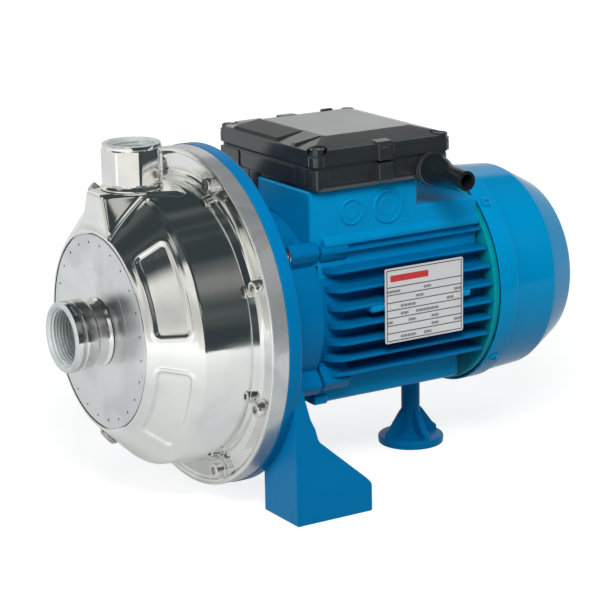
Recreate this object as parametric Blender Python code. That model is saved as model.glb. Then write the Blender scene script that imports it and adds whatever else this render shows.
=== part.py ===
# Centrifugal pump with a pressed stainless casing and an electric motor on one shaft.
# Lengths are metres, the shaft lies along X with the suction end at -X, up is +Z.
import bpy
import bmesh
from math import sin, cos, pi, radians, sqrt
from mathutils import Matrix

# Shared values
gap = 0.0003
shaft_height = 0.122
round_steps = 36
mid_steps = 24
small_steps = 16
hidden_steps = 16
bar_steps = 8
hex_steps = 12
merge_distance = 0.000002
overcut = 0.01

# Stainless casing, stations measured from the front face of the bracket disc
sheet = 0.002
front_face_x = -0.0773
cone_depth = 0.0268
channel_x = -0.0095
rim_radius = 0.1153
flange_width = 0.017
wall_draft = 0.0041
cone_rise = 0.0256
plate_step = 0.003
front_plate_gap = 0.0006
margin_width = 0.0012
edge_round = 0.0005
cone_margin = 0.0007
cone_end_back = 0.002
cone_end_drop = 0.0024
bend_blend = 0.0008
bend_length = 0.0025
channel_fillet = 0.003
bead_height = 0.0027
bead_width = 0.0041
bead_step = 0.0010
bead_slope = 0.0022
bead_round = 0.0007
bead_play = 0.0003
rim_sheet = 0.002
lip_step = 0.0004
lip_reach = 0.002
wall_radius = rim_radius - flange_width
bend_x = front_face_x + cone_depth
bend_radius = wall_radius - wall_draft
cone_start_radius = bend_radius - cone_rise
front_plate_radius = cone_start_radius - plate_step
plate_back_x = front_face_x + sheet
casing_front_x = plate_back_x + gap

# Pressed pads on the cone
pad_angles = (60, 120, 240, 300)
pad_half_angle = 22
pad_corner_angle = 2
pad_turn = 10
pad_depth = 0.0016
pad_margin_low = 0.005
pad_margin_high = 0.004
pad_corner = 0.004
pad_lift = 0.004

# Discharge neck and port
port_setback = 0.0293
port_bore = 0.0155
port_wall = 0.0039
port_side_step = 0.0012
port_sides = 8
port_ring = 0.003
port_ring_play = 0.0001
port_collar_step = 0.0009
port_collar_height = 0.004
port_collar_edge = 0.001
port_weld = 0.0008
port_chamfer = 0.0012
port_seat_lip = 0.0015
port_seat_depth = 0.006
port_height = 0.0303
neck_dip = 0.0048
neck_half_top = 0.0095
neck_half_low = 0.0215
neck_half_back = 0.031
neck_edge = 0.003
neck_flare = 0.0015
neck_flare_drop = 0.006
neck_foot_rise = 0.012
neck_foot_drop = 0.004
neck_shoulder = 0.002
neck_floor_drop = 0.0206
neck_back = 0.022
throat_drop = 0.0056
port_x = front_face_x + port_setback
port_radius = port_bore + port_wall
port_side_radius = port_radius + port_side_step
port_collar = port_side_radius + port_collar_step
neck_top = wall_radius - neck_dip
port_seat = shaft_height + neck_top + gap
port_top = port_seat - gap + port_height

# Suction port
suction_length = 0.0275
suction_bore = 0.0192
suction_wall = 0.0046
suction_bore_step = 0.002
suction_neck_wall = 0.0028
suction_waist_step = 0.0011
suction_lip = 0.0015
suction_lip_drop = 0.0010
suction_band = 0.0155
suction_line_depth = 0.0006
suction_line_width = 0.0009
suction_chamfer = 0.003
suction_bore_chamfer = 0.0018
suction_foot = 0.0025
suction_foot_flare = 0.0020
suction_thread_depth = 0.021
suction_face_x = front_face_x - suction_length
suction_radius = suction_bore + suction_wall
suction_inner_bore = suction_bore - suction_bore_step
suction_neck_radius = suction_inner_bore + suction_neck_wall
suction_waist_radius = suction_neck_radius + suction_waist_step

# Screws around the casing flange
screw_count = 8
screw_inset = 0.0098
screw_radius = 0.003
screw_head_radius = 0.005
screw_head_height = 0.006
screw_reach = 0.008
socket_radius = 0.0028
socket_depth = 0.003
hole_play = 0.0003
hole_spare = 0.0005
screw_circle = rim_radius - screw_inset

# Seal plate between casing and bracket
plate_screw_play = 0.0015
plate_play = 0.0008
plate_flange = 0.003
plate_sheet = 0.003
spigot_play = 0.0006
spigot_depth = 0.0055
spigot_wall = 0.006
spigot_back_wall = 0.008
dish_margin = 0.0297
dish_play = 0.0155
dish_blend = 0.003
dish_back_step = 0.002
seat_radius = 0.0165
seat_bore_play = 0.0025
seat_length = 0.0074
seat_edge = 0.001
seal_hub_wall = 0.0075
seal_hub_rise = 0.004
head_radius = 0.0145
head_front_step = 0.002
head_face_step = 0.0023
head_band = 0.003
head_face_length = 0.002
ring_section = 0.0024
ring_groove = 0.0027
ring_sides = 5
plate_radius = screw_circle - screw_radius - plate_screw_play
spigot_radius = wall_radius - sheet - spigot_play
dish_radius = spigot_radius - dish_margin

# Impeller
impeller_play = 0.0192
eye_setback = 0.0073
eye_neck = 0.006
eye_play = 0.005
impeller_depth = 0.0155
impeller_sheet = 0.002
impeller_outlet = 0.0067
impeller_hub_wall = 0.006
impeller_hub_length = 0.0135
impeller_hub_blend = 0.006
vane_count = 6
vane_thickness = 0.0024
vane_sweep = 82
vane_bend = 0.85
vane_lean = 0.72
vane_steps = 6
vane_start = 0.011
vane_end_play = 0.0012
wear_ring_thickness = 0.003
wear_ring_play = 0.0006
wear_ring_inset = 0.001
nut_wall = 0.0035
nut_length = 0.0052
impeller_radius = bend_radius - impeller_play
impeller_eye_x = front_face_x + eye_setback
impeller_shroud_x = impeller_eye_x + eye_neck
impeller_back_x = impeller_shroud_x + impeller_depth
impeller_eye_radius = suction_neck_radius + eye_play
dish_x = impeller_back_x + dish_play

# Shaft and rotor
shaft_tip_radius = 0.005
shaft_pump_radius = 0.007
shaft_front_radius = 0.010
shaft_core_radius = 0.014
shaft_rear_radius = 0.0085
shaft_fan_radius = 0.007
shaft_shoulder = 0.002
shaft_relief = 0.004
shaft_tip_reach = 0.002
slinger_radius = 0.020
slinger_setback = 0.016
slinger_width = 0.004
slinger_edge = 0.001
slinger_hub = 0.005
stack_setback = 0.027
stack_length = 0.065
stator_wall = 0.0238
air_gap = 0.0007
stator_play = 0.0006
end_ring = 0.007
end_ring_drop = 0.0045
winding_inner_play = 0.0035
winding_outer_play = 0.0033
winding_length = 0.018
winding_round = 0.004
bearing_dip = 0.001
bearing_race_step = 0.0005
bearing_race_share = 0.3
impeller_hub_radius = shaft_pump_radius + impeller_hub_wall
nut_radius = shaft_tip_radius + nut_wall
seat_bore = shaft_pump_radius + seat_bore_play
seal_hub_radius = seat_radius + seal_hub_wall

# Bracket: disc, drum and the two front feet
disc_step = 0.0005
disc_thickness = 0.010
disc_edge = 0.002
disc_recess = 0.003
ring_margin = 0.0037
shaft_hole_play = 0.005
drum_radius = 0.066
drum_wall = 0.006
drum_blend = 0.004
drum_end_x = 0.058
drum_floor = 0.022
front_bearing_wall = 0.0135
front_bearing_width = 0.014
front_hub_wall = 0.0065
front_hub_reach = 0.001
rear_bearing_wall = 0.0115
rear_bearing_width = 0.012
bearing_play = 0.0003
bearing_x = 0.031
leg_front_x = 0.0073
leg_inset = 0.007
leg_width = 0.0414
foot_length = 0.0584
foot_toe_height = 0.0194
foot_toe_slope = 0.0042
foot_toe_edge = 0.003
web_back = 0.015
web_height = 0.0557
web_blend = 0.0035
web_drop = 0.002
web_rise = 0.003
web_shoulder = 0.016
web_shoulder_share = 0.75
leg_drop = 0.010
leg_seat = 0.001
foot_wall = 0.006
foot_pocket_height = 0.012
lug_angles = (50, 130, 230, 310)
lug_half_width = 0.007
lug_height = 0.0115
lug_corner = 0.003
lug_corner_drop = 0.004
lug_length = 0.022
lug_bolt_inset = 0.0063
lug_bolt_radius = 0.0025
lug_bolt_head = 0.0045
lug_bolt_head_height = 0.005
lug_tail = 0.012
lug_tail_step = 0.002
lug_tail_play = 0.003
lug_root = 0.004
gusset_thickness = 0.008
gusset_y = 0.0492
gusset_rise = 0.001
gusset_root = 0.038
gusset_curve = ((0.0, -0.002), (0.014, 0.0), (0.027, -0.004), (0.036, -0.011), (0.041, -0.020))
gusset_length = 0.042
disc_radius = rim_radius + disc_step
bracket_ring_inner = spigot_radius - ring_margin
shaft_hole = shaft_pump_radius + shaft_hole_play
front_bearing_radius = shaft_front_radius + front_bearing_wall
rear_bearing_radius = shaft_rear_radius + rear_bearing_wall
front_hub_radius = front_bearing_radius + front_hub_wall
leg_outer = disc_radius - leg_inset
leg_inner = leg_outer - leg_width
leg_top = shaft_height - leg_drop
lug_outer = drum_radius + lug_height
lug_bolt_circle = lug_outer - lug_bolt_inset
lug_start_x = drum_end_x - lug_length
gusset_top = shaft_height + drum_radius + gusset_rise
slinger_x = -slinger_setback
stack_front_x = drum_end_x + stack_setback

# Motor housing with fins, pedestal and pad
housing_radius = 0.062
housing_wall = 0.0037
housing_length = 0.132
fin_count = 8
fin_pitch = 0.0121
fin_thickness = 0.0024
fin_offset = 0.002
fin_height = 0.014
fin_lead = 0.014
fin_root = 0.0015
fin_edge = 0.002
fin_nose_drop = 0.006
end_step = 0.0004
ledge_height = 0.0505
ledge_half = 0.002
ledge_reach = 0.004
ledge_setback = 0.004
ledge_corner = 0.001
pedestal_overhang = 0.0045
pedestal_length = 0.0865
pedestal_inset = 0.006
pedestal_wall = 0.006
pedestal_root = 0.020
pocket_step = 0.001
shelf_rise = 0.067
pad_half = 0.045
pad_drop = 0.0644
pad_chamfer = 0.003
pad_root = 0.030
pad_front = 0.0022
pad_rear = 0.009
knockout_small = 0.0085
knockout_large = 0.0110
knockout_setback = 0.0325
knockout_pitch = 0.029
knockout_lift = 0.0025
knockout_rise = 0.0008
knockout_edge = 0.0004
knockout_rim = 0.0018
knockout_slope = 0.0022
knockout_floor = 0.0002
knockout_root = 0.001
plate_boss_half = 0.003
plate_boss_left = (0.016, 0.004)
plate_boss_right = (0.004, 0.014)
housing_x = drum_end_x + gap
housing_end_x = drum_end_x + housing_length
housing_bore = housing_radius - housing_wall
fin_tip_radius = housing_radius + fin_height
plate_boss_face = fin_tip_radius
pedestal_front_x = drum_end_x - pedestal_overhang
pedestal_back_x = pedestal_front_x + pedestal_length
pedestal_half = housing_radius - pedestal_inset
ledge_y = pedestal_half + ledge_reach
shelf_height = shaft_height + shelf_rise
pedestal_floor = shelf_height + pocket_step
pad_bottom = shaft_height - pad_drop
pad_start_x = housing_x + pad_front
pad_end_x = housing_end_x - pad_rear
knockout_x = pedestal_front_x + knockout_setback
knockout_z = shelf_height + knockout_lift
rotor_radius = housing_bore - stator_wall
winding_inner = rotor_radius + winding_inner_play
winding_outer = housing_bore - winding_outer_play
end_ring_radius = rotor_radius - end_ring_drop

# Rear shield, fan and fan cover
shield_step = 0.008
shield_thickness = 0.0055
shield_hub_reach = 0.006
shield_hub_wall = 0.006
shield_hub_blend = 0.004
shield_hub_end = 0.003
shield_shaft_play = 0.0015
boss_angles = (40, 130, 230, 320)
boss_half = 0.006
boss_play = 0.001
boss_length = 0.0105
boss_root = 0.010
boss_sink = 0.003
cover_setback = 0.0048
cover_band = 0.015
band_step = 0.0018
band_draft = 0.0003
cover_step = 0.0018
cover_step_length = 0.0015
cover_length = 0.0492
cover_draft = 0.0025
cover_bend = 0.003
cover_bend_end = 0.002
cover_tail = 0.026
cover_taper = 0.0155
cover_round = 0.005
cover_round_rise = 0.006
cover_edge = 0.0015
cover_edge_rise = 0.0025
cover_edge_drop = 0.002
cover_sheet = 0.0016
slot_count = 16
slot_inner = 0.018
slot_margin = 0.010
slot_width = 0.004
cover_screw_setback = 0.0065
cover_screw_radius = 0.002
cover_screw_head = 0.004
cover_screw_head_height = 0.002
cover_screw_length = 0.0085
dome_share = 0.6
fan_hub_wall = 0.006
fan_play = 0.0095
fan_disc = 0.002
fan_disc_share = 0.82
fan_setback = 0.0182
fan_depth = 0.022
fan_hub_end = 0.003
fan_blade_end = 0.002
fan_blade_slope = 0.001
fan_blade_step = 0.0005
blade_count = 8
blade_thickness = 0.002
shield_radius = housing_radius + shield_step
shield_hub_radius = rear_bearing_radius + shield_hub_wall
rear_bearing_x = housing_end_x + gap - shield_hub_reach + gap
cover_x = housing_end_x + cover_setback
cover_band_radius = fin_tip_radius + band_step
cover_radius = cover_band_radius - cover_step
cover_bend_x = cover_x + cover_length
cover_bend_radius = cover_radius - cover_draft
cover_end_x = cover_bend_x + cover_tail
cover_end_radius = cover_bend_radius - cover_taper
cover_screw_x = cover_x + cover_screw_setback
boss_outer = cover_band_radius - cover_sheet - boss_play
slot_outer = cover_end_radius - slot_margin
fan_hub_radius = shaft_fan_radius + fan_hub_wall
fan_radius = cover_bend_radius - fan_play
fan_x = cover_x + fan_setback

# Terminal box
box_overhang = 0.001
box_length = 0.1109
box_side = 0.0082
box_lift = 0.0197
box_base_height = 0.0151
box_rim_height = 0.0095
box_crown = 0.0111
box_inset = 0.0017
box_foot = 0.001
box_foot_height = 0.002
box_wall = 0.0025
box_cover_play = 0.002
box_roof = 0.0015
box_corner = 0.003
plateau_front = 0.014
plateau_back = 0.017
plateau_side = 0.012
plateau_wall = 0.003
gasket_thickness = 0.001
gasket_width = 0.0014
gasket_inset = 0.0004
tower_radius = 0.0045
tower_wall = 0.0005
tower_inset = 0.0062
tower_rise = 0.0005
tower_crown = 0.001
tower_dip = 0.0004
pillar_half = 0.0045
pillar_reach = 0.0028
pillar_drop = 0.0059
pillar_round = 0.001
pillar_slope = 0.003
pillar_lift = 0.003
pillar_root = 0.0015
box_screw_radius = 0.0018
box_screw_head = 0.0031
box_screw_head_height = 0.0018
box_screw_length = 0.018
box_screw_taper = 0.8
wire_hole_half = 0.012
wire_hole_setback = 0.0465
wire_hole_root = 0.040
block_setback = 0.045
block_length = 0.030
block_width = 0.044
block_height = 0.010
post_rows = 3
post_columns = 2
post_radius = 0.002
post_height = 0.006
post_root = 0.002
capacitor_radius = 0.013
capacitor_length = 0.045
capacitor_setback = 0.0165
capacitor_y = 0.030
capacitor_round = 0.002
capacitor_edge = 0.001
box_front_x = pedestal_front_x - box_overhang
box_back_x = box_front_x + box_length
box_middle_x = 0.5 * (box_front_x + box_back_x)
box_half = pedestal_half + box_side
box_bottom = shelf_height + box_lift
box_split = box_bottom + box_base_height
box_rim_top = box_split + box_rim_height
box_top = box_rim_top + box_crown
tower_top = box_rim_top + tower_rise
pillar_top = box_top - pillar_drop
cover_bottom = box_split + gasket_thickness + 2 * gap
wire_hole_x = pedestal_front_x + wire_hole_setback

# Cable gland and its sleeve
gland_setback = 0.0182
gland_lift = 0.0065
gland_thread = 0.0078
gland_flange_radius = 0.0118
gland_flange = 0.003
gland_flange_edge = 0.0008
gland_inside = 0.004
gland_bore_play = 0.0004
gland_hole_depth = 0.012
sleeve_length = 0.0385
sleeve_base_radius = 0.0112
sleeve_base_edge = 0.001
sleeve_tip_radius = 0.0074
sleeve_tip_edge = 0.0008
sleeve_curve = ((0.002, 1.0), (0.007, 0.89), (0.013, 0.37), (0.019, 0.08))
sleeve_bore = 0.0045
sleeve_droop = 0.06
gland_x = box_back_x - gland_setback
gland_z = box_bottom + gland_lift

# Nameplate
plate_setback = 0.0402
plate_width = 0.0640
plate_drop = 0.0202
plate_height = 0.0520
plate_metal = 0.0008
plate_corner = 0.0012
rivet_inset = 0.006
rivet_lift = 0.0257
rivet_radius = 0.0013
rivet_head = 0.0024
rivet_head_height = 0.0012
rivet_crown_share = 0.75
rivet_length = 0.005
plate_left_x = housing_x + plate_setback
plate_bottom = shaft_height - plate_drop
rivet_z = plate_bottom + rivet_lift
rivet_places = (plate_left_x + rivet_inset, plate_left_x + plate_width - rivet_inset)

# Rear foot
rear_foot_setback = 0.0192
rear_foot_radius = 0.0238
rear_foot_rim = 0.0055
rear_foot_edge = 0.001
rear_foot_round = 0.0015
rear_stem_radius = 0.0067
rear_stem_flare = 0.003
rear_stem_rise = 0.004
rear_gusset_top = 0.026
rear_gusset_half = 0.0022
rear_gusset_inset = 0.0025
rear_gusset_sink = 0.002
rear_gusset_lip = 0.003
rear_stud_radius = 0.004
rear_stud_length = 0.0045
rear_foot_x = housing_end_x - rear_foot_setback

# Plugs on the far side of the cone
plug_places = {"priming_plug": (338, 0.93), "drain_plug": (199, 0.78)}
plug_bodies = {"priming_plug": 0.0025, "drain_plug": 0.005}
plug_wall = 0.0015
plug_head_heights = {"priming_plug": 0.0085, "drain_plug": 0.0032}
plug_steps = 12
plug_washer = 0.001
plug_washer_height = 0.0016
plug_seat = 0.0008
plug_reach = 0.004

# Colours, linear RGB with roughness and metallic
finishes = {
    "polished_steel": ((0.72, 0.72, 0.73), 0.12, 1.0),
    "brushed_steel": ((0.60, 0.60, 0.61), 0.32, 1.0),
    "bright_zinc": ((0.66, 0.66, 0.66), 0.25, 1.0),
    "blue_paint": ((0.0, 0.19, 0.47), 0.32, 0.0),
    "black_plastic": ((0.012, 0.012, 0.013), 0.35, 0.0),
    "grey_plastic": ((0.10, 0.10, 0.11), 0.45, 0.0),
    "rubber": ((0.015, 0.015, 0.015), 0.6, 0.0),
    "ceramic": ((0.75, 0.74, 0.70), 0.25, 0.0),
    "copper": ((0.55, 0.20, 0.07), 0.35, 1.0),
    "lamination": ((0.30, 0.31, 0.33), 0.45, 1.0),
    "plate_metal": ((0.70, 0.70, 0.70), 0.35, 1.0),
}


# Mesh building

def makeFinish(name):
    colour, roughness, metallic = finishes[name]
    material = bpy.data.materials.get(name) or bpy.data.materials.new(name)
    material.use_nodes = True
    shader = material.node_tree.nodes["Principled BSDF"]
    shader.inputs["Base Color"].default_value = (*colour, 1.0)
    shader.inputs["Roughness"].default_value = roughness
    shader.inputs["Metallic"].default_value = metallic
    material.diffuse_color = (*colour, 1.0)
    return material


def newObject(name, mesh, finish=None):
    piece = bpy.data.objects.new(name, mesh)
    bpy.context.scene.collection.objects.link(piece)
    if finish:
        mesh.materials.clear()
        mesh.materials.append(makeFinish(finish))
    return piece


def meshFrom(name, points, faces):
    mesh = bpy.data.meshes.new(name)
    build = bmesh.new()
    verts = [build.verts.new(p) for p in points]
    for face in faces:
        build.faces.new([verts[i] for i in face])
    bmesh.ops.recalc_face_normals(build, faces=build.faces)
    build.to_mesh(mesh)
    build.free()
    return mesh


def onShaft(x, radius, angle):
    return (x, -radius * sin(angle), shaft_height + radius * cos(angle))


def ringSolid(name, profile, steps, place, radiusAt=None, finish=None):
    # Turns a closed profile of (station, radius) pairs; a radius of zero closes on the axis.
    points = []
    rings = []
    for index, (station, radius) in enumerate(profile):
        if radius < 1e-7:
            rings.append([len(points)])
            points.append(place(station, 0.0, 0.0))
            continue
        ring = []
        for step in range(steps):
            angle = 2 * pi * step / steps
            reach = radiusAt(index, radius, angle) if radiusAt else radius
            ring.append(len(points))
            points.append(place(station, reach, angle))
        rings.append(ring)
    faces = []
    for index, ring in enumerate(rings):
        other = rings[(index + 1) % len(rings)]
        if len(ring) == 1 and len(other) == 1:
            continue
        for step in range(steps):
            after = (step + 1) % steps
            if len(ring) == 1:
                faces.append((ring[0], other[step], other[after]))
            elif len(other) == 1:
                faces.append((ring[step], ring[after], other[0]))
            else:
                faces.append((ring[step], ring[after], other[after], other[step]))
    return newObject(name, meshFrom(name, points, faces), finish)


def barProfile(start, end, radius):
    return [(start, 0.0), (start, radius), (end, radius), (end, 0.0)]


def hexagon(first, last):
    # Gives profile points first and last six flat sides, the profile's radius at the corners.
    def sixSided(index, radius, angle):
        if index not in (first, last):
            return radius
        return radius * cos(radians(30)) / cos((angle % radians(60)) - radians(30))
    return sixSided


def turned(name, profile, steps=mid_steps, finish=None):
    return ringSolid(name, profile, steps, onShaft, finish=finish)


def turnedUp(name, profile, centre, steps=small_steps, finish=None):
    def place(station, radius, angle):
        return (centre[0] + radius * cos(angle), centre[1] + radius * sin(angle), station)
    return ringSolid(name, profile, steps, place, finish=finish)


def turnedSide(name, profile, centre, steps=small_steps, finish=None, droop=0.0, start=0.0):
    def place(station, radius, angle):
        sag = droop * max(0.0, -station - start)
        return (centre[0] + radius * cos(angle), station, centre[1] + radius * sin(angle) - sag)
    return ringSolid(name, profile, steps, place, finish=finish)


def prism(name, outline, low, high, axis, finish=None):
    # Pushes a flat outline from low to high along X, Y or Z.
    def place(a, b, level):
        return {"X": (level, a, b), "Y": (a, level, b), "Z": (a, b, level)}[axis]
    count = len(outline)
    points = [place(a, b, low) for a, b in outline] + [place(a, b, high) for a, b in outline]
    faces = [tuple(range(count)), tuple(range(count, 2 * count))]
    faces += [(i, (i + 1) % count, count + (i + 1) % count, count + i) for i in range(count)]
    return newObject(name, meshFrom(name, points, faces), finish)


def block(name, low, high, finish=None):
    outline = [(low[0], low[1]), (high[0], low[1]), (high[0], high[1]), (low[0], high[1])]
    return prism(name, outline, low[2], high[2], "Z", finish)


def stacked(name, sections, finish=None):
    # Joins closed sections with the same number of points, capped at both ends.
    count = len(sections[0])
    points = [point for section in sections for point in section]
    faces = [tuple(range(count)), tuple(range(len(points) - count, len(points)))]
    for level in range(len(sections) - 1):
        base = level * count
        for i in range(count):
            after = (i + 1) % count
            faces.append((base + i, base + after, base + count + after, base + count + i))
    return newObject(name, meshFrom(name, points, faces), finish)


def combine(target, tools, operation):
    for tool in tools:
        step = target.modifiers.new("cut", "BOOLEAN")
        step.operation = operation
        step.solver = "EXACT"
        step.object = tool
        graph = bpy.context.evaluated_depsgraph_get()
        mesh = bpy.data.meshes.new_from_object(target.evaluated_get(graph))
        target.modifiers.clear()
        target.data = mesh
        bpy.data.objects.remove(tool)
        build = bmesh.new()
        build.from_mesh(target.data)
        bmesh.ops.remove_doubles(build, verts=build.verts, dist=merge_distance)
        bmesh.ops.dissolve_degenerate(build, edges=build.edges, dist=merge_distance)
        build.to_mesh(target.data)
        build.free()
    return target


def spun(piece, angle):
    # Turns a piece made at the top of the shaft circle to its own angle.
    turn = Matrix.Translation((0, 0, shaft_height)) @ Matrix.Rotation(angle, 4, "X")
    piece.data.transform(turn @ Matrix.Translation((0, 0, -shaft_height)))
    return piece


def alongShaft(name, radius, circle, start, end, angle):
    # A plain round bar parallel to the shaft.
    centre = onShaft(0, circle, angle)

    def place(station, reach, turn):
        return (station, centre[1] + reach * cos(turn), centre[2] + reach * sin(turn))
    return ringSolid(name, barProfile(start, end, radius), bar_steps, place)


def roundedOutline(low, high, corner, steps=2):
    centres = [(high[0] - corner, high[1] - corner, 0), (low[0] + corner, high[1] - corner, 90),
               (low[0] + corner, low[1] + corner, 180), (high[0] - corner, low[1] + corner, 270)]
    outline = []
    for cx, cy, first in centres:
        for step in range(steps + 1):
            angle = radians(first + 90 * step / steps)
            outline.append((cx + corner * cos(angle), cy + corner * sin(angle)))
    return outline


# Casing shape

cone_dx = bend_x - cone_end_back - (front_face_x + cone_margin)
cone_dr = bend_radius - cone_end_drop - cone_start_radius
cone_length = sqrt(cone_dx ** 2 + cone_dr ** 2)
cone_along = (cone_dx / cone_length, cone_dr / cone_length)
cone_out = (-cone_along[1], cone_along[0])


def onCone(share, height=0.0):
    base_x = front_face_x + cone_margin + share * cone_dx
    base_r = cone_start_radius + share * cone_dr
    return (base_x + height * cone_out[0], base_r + height * cone_out[1])


def casingOutside():
    seat = front_plate_radius + front_plate_gap
    profile = [(front_face_x, 0.0), (front_face_x, seat + margin_width), onCone(0.0), onCone(1.0)]
    profile += [(bend_x, bend_radius - bend_blend), (bend_x + bend_length, bend_radius)]
    fillet_x = channel_x - channel_fillet
    for step in range(3):
        turn = radians(45 * step)
        profile.append((fillet_x + channel_fillet * sin(turn),
                        wall_radius + channel_fillet * (1 - cos(turn))))
    inner = rim_radius - bead_width
    profile += [(channel_x, inner), (channel_x - 0.8 * bead_height, inner + bead_step),
                (channel_x - bead_height, inner + bead_slope),
                (channel_x - 0.85 * bead_height, rim_radius - bead_round),
                (channel_x - 0.5 * bead_height, rim_radius), (-gap, rim_radius), (-gap, 0.0)]
    return profile


def casingInside():
    front = casing_front_x + sheet
    low = onCone(0.0, -sheet)
    low_r = low[1] + (front - low[0]) * cone_dr / cone_dx
    profile = [(front, 0.0), (front, low_r), onCone(0.985, -sheet),
               (bend_x + bend_length, bend_radius - sheet)]
    fillet_x = channel_x - channel_fillet
    reach = channel_fillet + sheet
    profile.append((fillet_x, wall_radius + channel_fillet - reach))
    profile.append((fillet_x + reach, wall_radius + channel_fillet))
    lip = rim_radius - rim_sheet
    profile += [(channel_x + sheet, rim_radius - bead_width - bead_play), (channel_x - lip_step, lip),
                (lip_reach, lip), (lip_reach, 0.0)]
    return profile


def padTool(name, centre, depth):
    # A patch that follows the cone, with rounded corners.
    half = pad_half_angle
    ease = pad_corner_angle
    angles = sorted({-half, ease - half, -pad_turn, 0, pad_turn, half - ease, half})
    low_end = pad_margin_low / cone_length
    high_end = 1 - pad_margin_high / cone_length
    rows = []
    for angle in angles:
        edge = half - abs(angle)
        corner = pad_corner / cone_length
        cut = {0: corner, ease: corner * 0.3}.get(round(edge), 0.0)
        turn = radians(centre + angle)
        row = []
        for share, height in ((low_end + cut, -depth), (high_end - cut, -depth),
                              (high_end - cut, pad_lift), (low_end + cut, pad_lift)):
            row.append(onShaft(*onCone(share, height), turn))
        rows.append(row)
    return stacked(name, rows)


def neckSolid(name, shrink):
    # Pressed wedge that carries the discharge port: narrow in front, wide at the cylinder.
    front = front_face_x + shrink
    back = bend_x + neck_back
    top = shaft_height + neck_top - shrink
    floor = shaft_height + front_plate_radius - neck_floor_drop
    foot = shaft_height + front_plate_radius - neck_foot_drop
    knee = foot + neck_foot_rise
    half_top = neck_half_top - shrink
    half_low = neck_half_low - shrink
    half_back = neck_half_back - shrink

    def section(x, top_half, low_half, level):
        flare = top_half + neck_flare
        bulge = low_half - neck_flare_drop
        return [(x, -top_half, level), (x, -flare, level - neck_flare_drop), (x, -bulge, knee),
                (x, -low_half, foot), (x, -low_half, floor), (x, low_half, floor), (x, low_half, foot),
                (x, bulge, knee), (x, flare, level - neck_flare_drop), (x, top_half, level)]
    wide = neck_shoulder
    sections = [section(front, half_top - 0.5 * wide, half_low, top - neck_edge),
                section(front + neck_edge * 0.35, half_top, half_low + 0.4 * wide, top - neck_edge * 0.3),
                section(front + neck_edge, half_top + wide, half_low + wide, top),
                section(back, half_back, half_back + 0.5 * wide, top)]
    return stacked(name, sections)


def screwAngles():
    return [2 * pi * (index + 0.5) / screw_count for index in range(screw_count)]


def frontDisc(name, radius, end):
    start = front_face_x - overcut
    return turned(name, [(start, 0.0), (start, radius), (end, radius), (end, 0.0)], round_steps)


def makeCasing():
    shell = turned("pump_casing", casingOutside(), round_steps, "polished_steel")
    hollow = turned("hollow", casingInside(), round_steps)
    combine(shell, [neckSolid("neck", 0.0)], "UNION")
    combine(hollow, [neckSolid("neck_hollow", sheet)], "UNION")
    seat = front_plate_radius + front_plate_gap
    combine(shell, [frontDisc("seat", seat, casing_front_x)], "DIFFERENCE")
    combine(hollow, [frontDisc("guard", seat + sheet, casing_front_x + sheet)], "DIFFERENCE")
    for angle in pad_angles:
        combine(shell, [padTool("pad", angle, pad_depth)], "DIFFERENCE")
        combine(hollow, [padTool("pad_back", angle, pad_depth + sheet)], "DIFFERENCE")
    combine(shell, [hollow], "DIFFERENCE")
    eye = turned("eye", barProfile(front_face_x - overcut, casing_front_x + overcut,
                                   suction_neck_radius + gap))
    throat_floor = shaft_height + front_plate_radius - throat_drop
    throat = turnedUp("throat", barProfile(throat_floor, port_top, port_bore), (port_x, 0.0), mid_steps)
    saddle = turnedUp("saddle", barProfile(port_seat - gap, port_top, port_collar + 2 * gap),
                      (port_x, 0.0), mid_steps)
    combine(shell, [eye, throat, saddle], "DIFFERENCE")
    for angle in screwAngles():
        combine(shell, [alongShaft("hole", screw_radius + hole_play, screw_circle,
                                   channel_x - screw_head_height, lip_reach, angle)], "DIFFERENCE")
    for name, (angle, share) in plug_places.items():
        bar = barProfile(-plug_reach - 2 * sheet, plug_reach, plug_bodies[name] + gap)
        combine(shell, [ringSolid("plug_hole", bar, small_steps, plugPlace(angle, share))], "DIFFERENCE")
    return shell


def plugPlace(angle, share):
    turn = radians(angle)
    x, radius = onCone(share)
    outward = onShaft(cone_out[0], cone_out[1], turn)
    normal = (cone_out[0], outward[1], outward[2] - shaft_height)
    across = (0.0, -cos(turn), -sin(turn))
    along = (normal[1] * across[2] - normal[2] * across[1],
             normal[2] * across[0] - normal[0] * across[2],
             normal[0] * across[1] - normal[1] * across[0])
    base = onShaft(x, radius, turn)

    def place(station, reach, spin):
        return tuple(base[i] + station * normal[i] + reach * cos(spin) * across[i]
                     + reach * sin(spin) * along[i] for i in range(3))
    return place


def makePlug(name, angle, share):
    seat = plug_seat
    body = plug_bodies[name]
    head = body + plug_wall
    washer = seat + plug_washer_height
    wide = head + plug_washer
    end = seat + plug_head_heights[name]
    profile = [(-plug_reach, 0.0), (-plug_reach, body), (seat, body), (seat, wide),
               (washer, wide), (washer, head), (end, head), (end, 0.0)]
    return ringSolid(name, profile, plug_steps, plugPlace(angle, share), hexagon(5, 6), "bright_zinc")


def makeFrontPlate():
    hole = suction_neck_radius + gap
    profile = [(plate_back_x, hole), (plate_back_x, front_plate_radius),
               (front_face_x + edge_round, front_plate_radius),
               (front_face_x, front_plate_radius - edge_round),
               (front_face_x, hole)]
    return turned("casing_front_plate", profile, round_steps, "polished_steel")


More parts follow.
